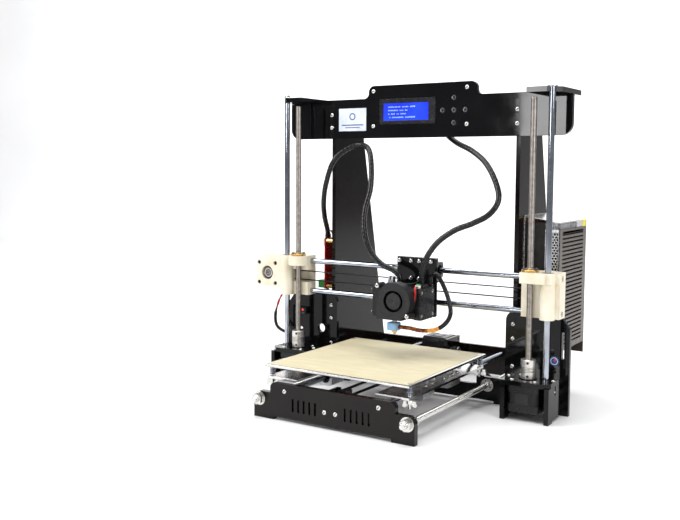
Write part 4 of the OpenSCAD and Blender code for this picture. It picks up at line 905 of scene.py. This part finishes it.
piece = Piece("psu_cover_shown", "frame", "psu_cover", "psu_cover")
pitch = 5.5
for y0, y1 in ((PY0, PY0 + 12), (PY1 - 13.5, PY1 - 1.5)):
    piece.box(PX1 - 1.5, PX1, y0, y1, 76, 241, PSU_SKIN, 0.2)
for z0, z1 in ((76, 84), (234.7, 241)):
    piece.box(PX1 - 1.5, PX1, PY0 + 12, PY1 - 13.5, z0, z1, PSU_SKIN, 0.2)
for k in range(28):
    z = 84 + k * pitch
    piece.box(PX1 - 1.5, PX1, PY0 + 12, PY1 - 13.5, z + 2.2, z + pitch, PSU_SKIN, 0.25)
    lip = [(PX1 - 3.2, z - 0.2), (PX1 - 0.1, z + 2.4), (PX1 - 0.1, z + 3.0), (PX1 - 3.4, z + 0.3)]
    piece.prism(lip, "y", PY0 + 13, PY1 - 14.5, PSU_DARK)
x0 = PX0 + 30
cell = 4.1
outer, inner = cell / math.sqrt(3), cell / math.sqrt(3) - 0.55
for z0, z1 in ((76, 80), (237, 241)):
    piece.box(x0, PX1, PY0, PY0 + 1.5, z0, z1, PSU_BRIGHT, 0.2)
piece.box(x0, x0 + 1.0, PY0, PY0 + 1.5, 80, 237, PSU_BRIGHT, 0.2)
piece.box(PX1 - 2.2, PX1, PY0, PY0 + 1.5, 80, 237, PSU_BRIGHT, 0.2)
for row in range(44):
    for col in range(5):
        cx = x0 + 2.6 + col * cell + (cell / 2 if row % 2 else 0)
        cz = 82 + row * cell * 0.866
        if cx <= PX1 - 3.0:
            piece.lathe([(outer, 0), (outer, 1.1), (inner, 1.1), (inner, 0)],
                        (cx, PY0 + 0.2, cz), "y", PSU_BRIGHT, 6, closed=True, phase=math.pi / 6)
piece.box(PX0 + 1.6, PX1 - 1.5, PY0 + 1.6, PY1 - 1.6, 76, 77.5, PSU_SKIN)
piece.box(PX0 + 28, PX1 - 1.5, PY0 + 1.6, PY1 - 1.6, 239.5, 241, PSU_SKIN)
piece.box(PX1 - 3.4, PX1 - 2.6, PY0 + 3, PY1 - 4, 80, 237, PSU_DARK)
piece.box(x0 + 1, PX1 - 3.6, PY0 + 3.2, PY0 + 4, 80, 237, PSU_DARK)
piece.done()

piece = Piece("terminal_cover", "frame", "psu_cover")
piece.prism([(PX0 + 1.6, 258.6), (PX0 + 1.6, 257.9), (PX1 - 2, 249.8), (PX1 - 2, 250.5)], "y",
            PY0 + 2, PY0 + 92, PSU_BRIGHT)
piece.box(PX0 + 27, PX1 - 0.4, PY0 + 2, PY0 + 70, 241.2, 249.4, CLEAR, 0.5)
piece.box(PX0 + 27, PX1 - 0.4, PY0 + 70.4, PY1 - 14, 241.2, 249.4, PSU_BRIGHT, 0.4)
piece.box(PX1 - 12, PX1 - 0.3, PY1 - 13.6, PY1 - 2, 239.2, 250.2, YELLOW, 0.3)
piece.done()

# ---------------- control board

BX = -165.0
piece = Piece("controller", "frame", "red_board", "control_board")
piece.box(BX - 1.6, BX, 12, 112, 136, 214, PCB_RED, 0.2)
for y in (16, 108):
    for z in (140, 210):
        piece.ring("x", (BX, y, z), 16.5, 3, 1.6, BRASS, 6)
        piece.screw("x", (BX - 1.6, y, z), -1, ZINC, 2.6, 1.5)
for k in range(5):
    y = 24 + k * 15
    piece.box(BX - 12, BX - 1.6, y, y + 10, 202, 212, WHITE_PLASTIC)
    piece.box(BX - 12.4, BX - 9, y + 1, y + 9, 203.5, 210.5, CHIP)
piece.box(BX - 14, BX - 1.6, 14, 44, 137, 149, GREEN_PLASTIC)
for k in range(5):
    piece.screw("x", (BX - 14, 17.5 + k * 5.8, 144), -1, ZINC, 1.9, 0.6)
piece.box(BX - 12, BX - 1.6, 50, 70, 137, 147, CHIP)
for k in range(4):
    y = 26 + k * 18
    piece.box(BX - 3.2, BX - 1.6, y, y + 9, 172, 181, CHIP)
    piece.box(BX - 8, BX - 3.2, y + 0.5, y + 8.5, 172.5, 180.5, SHEET_ALU)
    for j in range(4):
        piece.box(BX - 9.6, BX - 8, y + 0.8 + j * 2, y + 1.8 + j * 2, 172.5, 180.5, SHEET_ALU, 0.1)
piece.box(BX - 3.4, BX - 1.6, 60, 78, 152, 168, CHIP)
for k in range(10):
    y, z = 20 + rng.random() * 84, 186 + rng.random() * 12
    piece.rod("x", (BX - 1.6, y, z), -5.4, 2.4, CHIP if k % 2 else SHEET_ALU, seg=16)
for k in range(26):
    y, z = 18 + rng.random() * 88, 150 + rng.random() * 60
    piece.box(BX + 0.05, BX + 0.5, y, y + 2.2, z, z + 1.0, WHITE_PLASTIC, 0.1)
piece.done()

piece = Piece("board_wires", "frame", "loom")
for k in range(9):
    y = 27 + 9 * (k % 5) + rng.random() * 3
    x = BX - 6 - (k % 3) * 2
    top = (-170 + (k % 3) * 1.5, 22 + (k % 3) * 2, 226)
    path = smooth_path([(x, y, 211), (x, y - 1, 218), ((x + top[0]) / 2, (y + top[1]) / 2, 224),
                        top, (-166 + (k % 3), 12, 246)], 2.0)
    piece.tube(path, 0.8, (BLACK_WIRE, BLACK_WIRE, RED_WIRE, BLACK_WIRE)[k % 4], 8)
piece.done(60)

# ---------------- gantry details

piece = Piece("gantry_guides", "x_gantry", "brass", "z_guides")
for s in SIDES:
    for z0 in (132, 162):
        piece.lathe([(4.06, 0), (7.5, 0), (7.5, 24), (4.06, 24)], (s * ROD_X, ROD_Y, z0), "z",
                    CHROME, 36, closed=True)
        piece.ring("z", (s * ROD_X, ROD_Y, z0 + 23.2), 0.9, 6.6, 4.1, BLACK_WIRE, 32)
    piece.lathe([(4.08, -10), (5.1, -10), (5.1, 0), (10.6, 0), (11, 0.4), (11, 3.1), (10.6, 3.5),
                 (5.1, 3.5), (5.1, 4.6), (4.7, 5), (4.08, 5)], (s * SCREW_X, SCREW_Y, 190), "z",
                BRASS, 44, closed=True)
    for a in range(45, 405, 90):
        dx, dy = polar(8, math.radians(a))
        piece.screw("z", (s * SCREW_X + dx, SCREW_Y + dy, 193.5), 1, DARK_METAL_AND_SHADE, 2.6, 2.0)
piece.done()

piece = Piece("gantry_pulley", "x_pulley_body", "bright_aluminium", "x_pulley")
px, py = MOTOR_X, -24.5
teeth = []
for k in range(60):
    u, v = polar(5.55 if k % 3 else 4.9, TAU * k / 60)
    teeth.append((px + u, GANTRY_Z + v))
piece.prism(teeth, "y", py + 1.2, py + 8.4, COUPLING)
for y in (py, py + 7.8):
    piece.ring("y", (px, y, GANTRY_Z), 1.2, 7.1, 2.52, COUPLING, 40)
piece.ring("y", (px, py + 9, GANTRY_Z), 2.6, 6.4, 2.52, COUPLING, 40)
piece.rod("y", (px, py + 0.5, GANTRY_Z), 15, 2.5, DARK_METAL_AND_SHADE, 0.4, 24)
piece.ring("y", (px, py, GANTRY_Z), -0.12, 5.6, 2.9, DARK_METAL_AND_SHADE, 32, 0.05)
piece.done()

# ---------------- print head

piece = Piece("head_screws", "x_carriage", "zinc")
for x in (-9, 9):
    for z in (-12, 12):
        for cx, cz in HEAD_BLOCKS:
            piece.screw("y", (cx + x, -35.85, cz + z), -1, ZINC, 2.6, 0.6)
for x in (36, 42):
    piece.screw("y", (x, -37, 158.1), -1, ZINC, 2.4, 1.4)
for dy, dz in MOTOR_HOLES:
    piece.screw("x", (-23.6, GEAR_Y + dy, GEAR_Z + dz), -1, ZINC, 2.7, 0.5)
for x, z in ((-4, 166), (41, 128.5)):
    piece.screw("y", (x, -104.6, z), -1, ZINC, 2.95, 0.9)
piece.done()

piece = Piece("bearing_seals", "x_carriage", "black_plastic")
for cx, cz in HEAD_BLOCKS:
    for s in SIDES:
        piece.ring("x", (cx + s * 12.05, -20, cz), s * 0.8, 7.3, 4.3, BLACK_WIRE, 32)
piece.done()

piece = Piece("blower_trim", "x_carriage", "black_plastic")
bx, bz = HEAD_X + 3, GANTRY_Z - 13
piece.ring("y", (bx, -103.5, bz), -0.5, 16.6, 14.5, BLOWER_GREY, 56, 0.2)
piece.ring("y", (bx, -103.5, bz), -0.25, 24.3, 23.6, BLOWER_GREY, 64, 0.1)
piece.done()
piece = Piece("blower_hub", "blower_rotor_body", "black_plastic")
piece.lathe([(10.8, 0), (10.6, -0.25), (2.2, -0.3), (1.8, -0.1), (0, -0.1)],
            (bx, -103.2, bz), "y", BLOWER_GREY, 44)
piece.done()

piece = Piece("hot_end_shown", "x_carriage", "hot_metal", "hot_end")
hx, hy = HEAD_X - 12, -72.0
piece.rod("z", (hx, hy, 113.1), 8, 3, SCREW_STEEL, 0.2)
piece.box(hx - 8.9, hx + 5.9, hy - 6.4, hy + 7.9, 102.2, 113.0, WRAP_BLUE, 1.2)
piece.box(hx - 9, hx + 6, hy - 4, hy + 3.5, 102.1, 113.1, WRAP_BLUE, 0.5)
piece.lathe([(4.3, 0), (4.3, -2.6), (3.3, -2.7), (0.9, -5.2), (0.3, -5.2), (0, -5.1)],
            (hx, hy, 102.1), "z", BRASS, 6)
piece.rod("z", (hx, hy, 102.1), -1.2, 3.6, BRASS, 0.1)
piece.done()

piece = Piece("head_wires", "x_carriage", "loom")
for off, mat in ((0, RED_WIRE), (1.3, RED_WIRE), (2.4, BLACK_WIRE)):
    path = smooth_path([(43.5 + off, -84, 166), (44 + off, -88.6, 164.6), (45 + off, -90, 157),
                        (44 + off, -90.2, 149), (41 + off, -90.6, 142), (37, -91.5, 137)], 1.2)
    piece.tube(path, 0.75, mat, 8)
piece.box(42, 48, -84, -79, 163.3, 167.3, WHITE_PLASTIC)
piece.box(42.6, 47.4, -83.4, -79.6, 167.3, 169, GREEN_PLASTIC)
for lift, mat in ((0, BLACK_WIRE), (1.6, BLACK_WIRE)):
    path = smooth_path([(-14, -64 + lift, 163), (-6, -62 + lift, 166.5), (10, -59 + lift, 165),
                        (26, -57 + lift, 166), (34, -55 + lift, 172), (37, -56 + lift, 184)], 1.5)
    piece.tube(path, 0.85, mat, 8)
piece.done(60)

# ---------------- bed

BED_TOP, BED_Y = 68.7, -106.0
piece = Piece("bed_plate", "bed_carriage", "bed_tape", "heated_bed")
piece.box(-106, 106, BED_Y - 110, BED_Y + 110, 65.3, 68.3, SHEET_ALU, 0.4)
STRIP = 41.1
for k in range(5):
    x = -103.5 + k * STRIP
    piece.box(x + 0.03, x + STRIP - 0.03, BED_Y - 106.5, BED_Y + 108, 68.3,
              BED_TOP - 0.03 * (k % 2), TAPE, 0.05)
piece.box(-22, 22, BED_Y - 60, BED_Y + 96, 64.9, 65.3, PCB_RED, 0.1)
piece.done()

COIL_STEPS = 6 * 18
piece = Piece("bed_springs", "bed_carriage", "zinc", "bed_posts")
for s in SIDES:
    for y in (BED_Y - 99, BED_Y + 101):
        piece.rod("z", (s * 101, y, 38), 30.3, 1.6, ZINC, 0.3, 20)
        piece.lathe([(1.6, 67), (2.7, 68.5), (2.7, 68.75), (1.2, 68.75), (1.1, 68.3), (0, 68.3)],
                    (s * 101, y, 0), "z", ZINC, 24)
        coil = []
        for i in range(COIL_STEPS + 1):
            u, v = polar(3.4, TAU * i / 18)
            coil.append(Vector((s * 101 + u, y + v, 53.1 + 11.5 * i / COIL_STEPS)))
        piece.tube(coil, 0.55, CHROME, 8)
piece.done()

piece = Piece("plate_screws", "bed_carriage", "zinc")
for s in SIDES:
    for y in (-146, -129, -96, -80, -69, -55):
        piece.screw("z", (s * 91, y, 52.5), 1, ZINC)
        piece.nut("z", (s * 91, y, 49.5), -2.4, 5.5, 1.4, ZINC)
    for y in (BED_Y - 9, BED_Y + 69.5):
        for w in (-12.05, 12.05):
            way = 1 if w > 0 else -1
            piece.ring("y", (s * Y_ROD_X, y + w, Y_ROD_Z), way * 0.8, 7.3, 4.3, BLACK_WIRE, 32)
piece.done()

# ---------------- small things on the frame

piece = Piece("switch_details", "frame", "black_plastic")
piece.box(-207, -189, -7.9, -7.4, 98.4, 98.9, DARK_METAL_AND_SHADE, 0.1)
piece.rod("y", (-192.8, -7, 103.8), -1.4, 1.6, RED_LIGHT, 0.3, 16)
piece.ring("y", (203.5, 0, 71), -0.12, 6.6, 0.5, DOT_BLUE, 40, 0.02)
piece.ring("y", (203.5, -0.12, 71), -0.06, 4.9, 4.2, BADGE_WHITE, 40, 0.02)
piece.ring("y", (204.5, -0.12, 72), -0.06, 1.6, 0.3, RED_WIRE, 24, 0.02)
piece.done()

# ---------------- stage

HALF_FLOOR, BACK_WALL, WALL_TOP, COVE = 6.0, 3.2, 4.0, 0.8
profile = [(-HALF_FLOOR, 0.0), (BACK_WALL - COVE, 0.0)]
for k in range(1, 11):
    u, v = polar(COVE, math.pi / 2 * k / 10)
    profile.append((BACK_WALL - COVE + v, COVE - u))
profile.append((BACK_WALL, WALL_TOP))
pts = [(x, y, z) for y, z in profile for x in (-HALF_FLOOR, HALF_FLOOR)]
quads = [(2 * k, 2 * k + 1, 2 * k + 3, 2 * k + 2) for k in range(len(profile) - 1)]
floor_mesh = bpy.data.meshes.new("floor")
floor_mesh.from_pydata(pts, [], quads)
floor_mesh.materials.append(FLOOR)
for p in floor_mesh.polygons:
    p.use_smooth = True
floor = bpy.data.objects.new("floor", floor_mesh)
scene.collection.objects.link(floor)
floor.rotation_euler = (0, 0, CAM_YAW)

world = bpy.data.worlds.new("studio")
scene.world = world
world.use_nodes = True
world_light = world.node_tree.nodes["Background"]
world_light.inputs["Color"].default_value = (0.94, 0.96, 1.0, 1)
world_light.inputs["Strength"].default_value = 0.32


def softbox(name, place, target, size, power):
    data = bpy.data.lights.new(name, "AREA")
    data.shape = "RECTANGLE"
    data.size, data.size_y = size
    data.energy = power
    lamp = bpy.data.objects.new(name, data)
    lamp.location = place
    lamp.rotation_euler = (Vector(target) - Vector(place)).to_track_quat("-Z", "Y").to_euler()
    scene.collection.objects.link(lamp)


softbox("key", (-1.5, -1.3, 1.6), (0, 0, 0.15), (0.9, 1.2), 40)
softbox("panel_sheen", (-0.443, -1.75, 0.51), (0.19, 0.03, 0.4), (0.17, 0.22), 2.6)
softbox("fill", (1.9, -0.7, 1.2), (0, 0, 0.2), (0.8, 1.4), 26)
softbox("top", (0, 0.1, 2.2), (0, 0, 0), (1.8, 1.6), 46)
softbox("backdrop_left", (-0.9, 1.3, 1.9), (-1.9, 2.7, 0.5), (1.6, 1.0), 36)
softbox("backdrop_right", (0.6, 1.9, 1.9), (0.2, 3.4, 0.5), (1.6, 1.0), 36)
scene.view_settings.view_transform = "Standard"
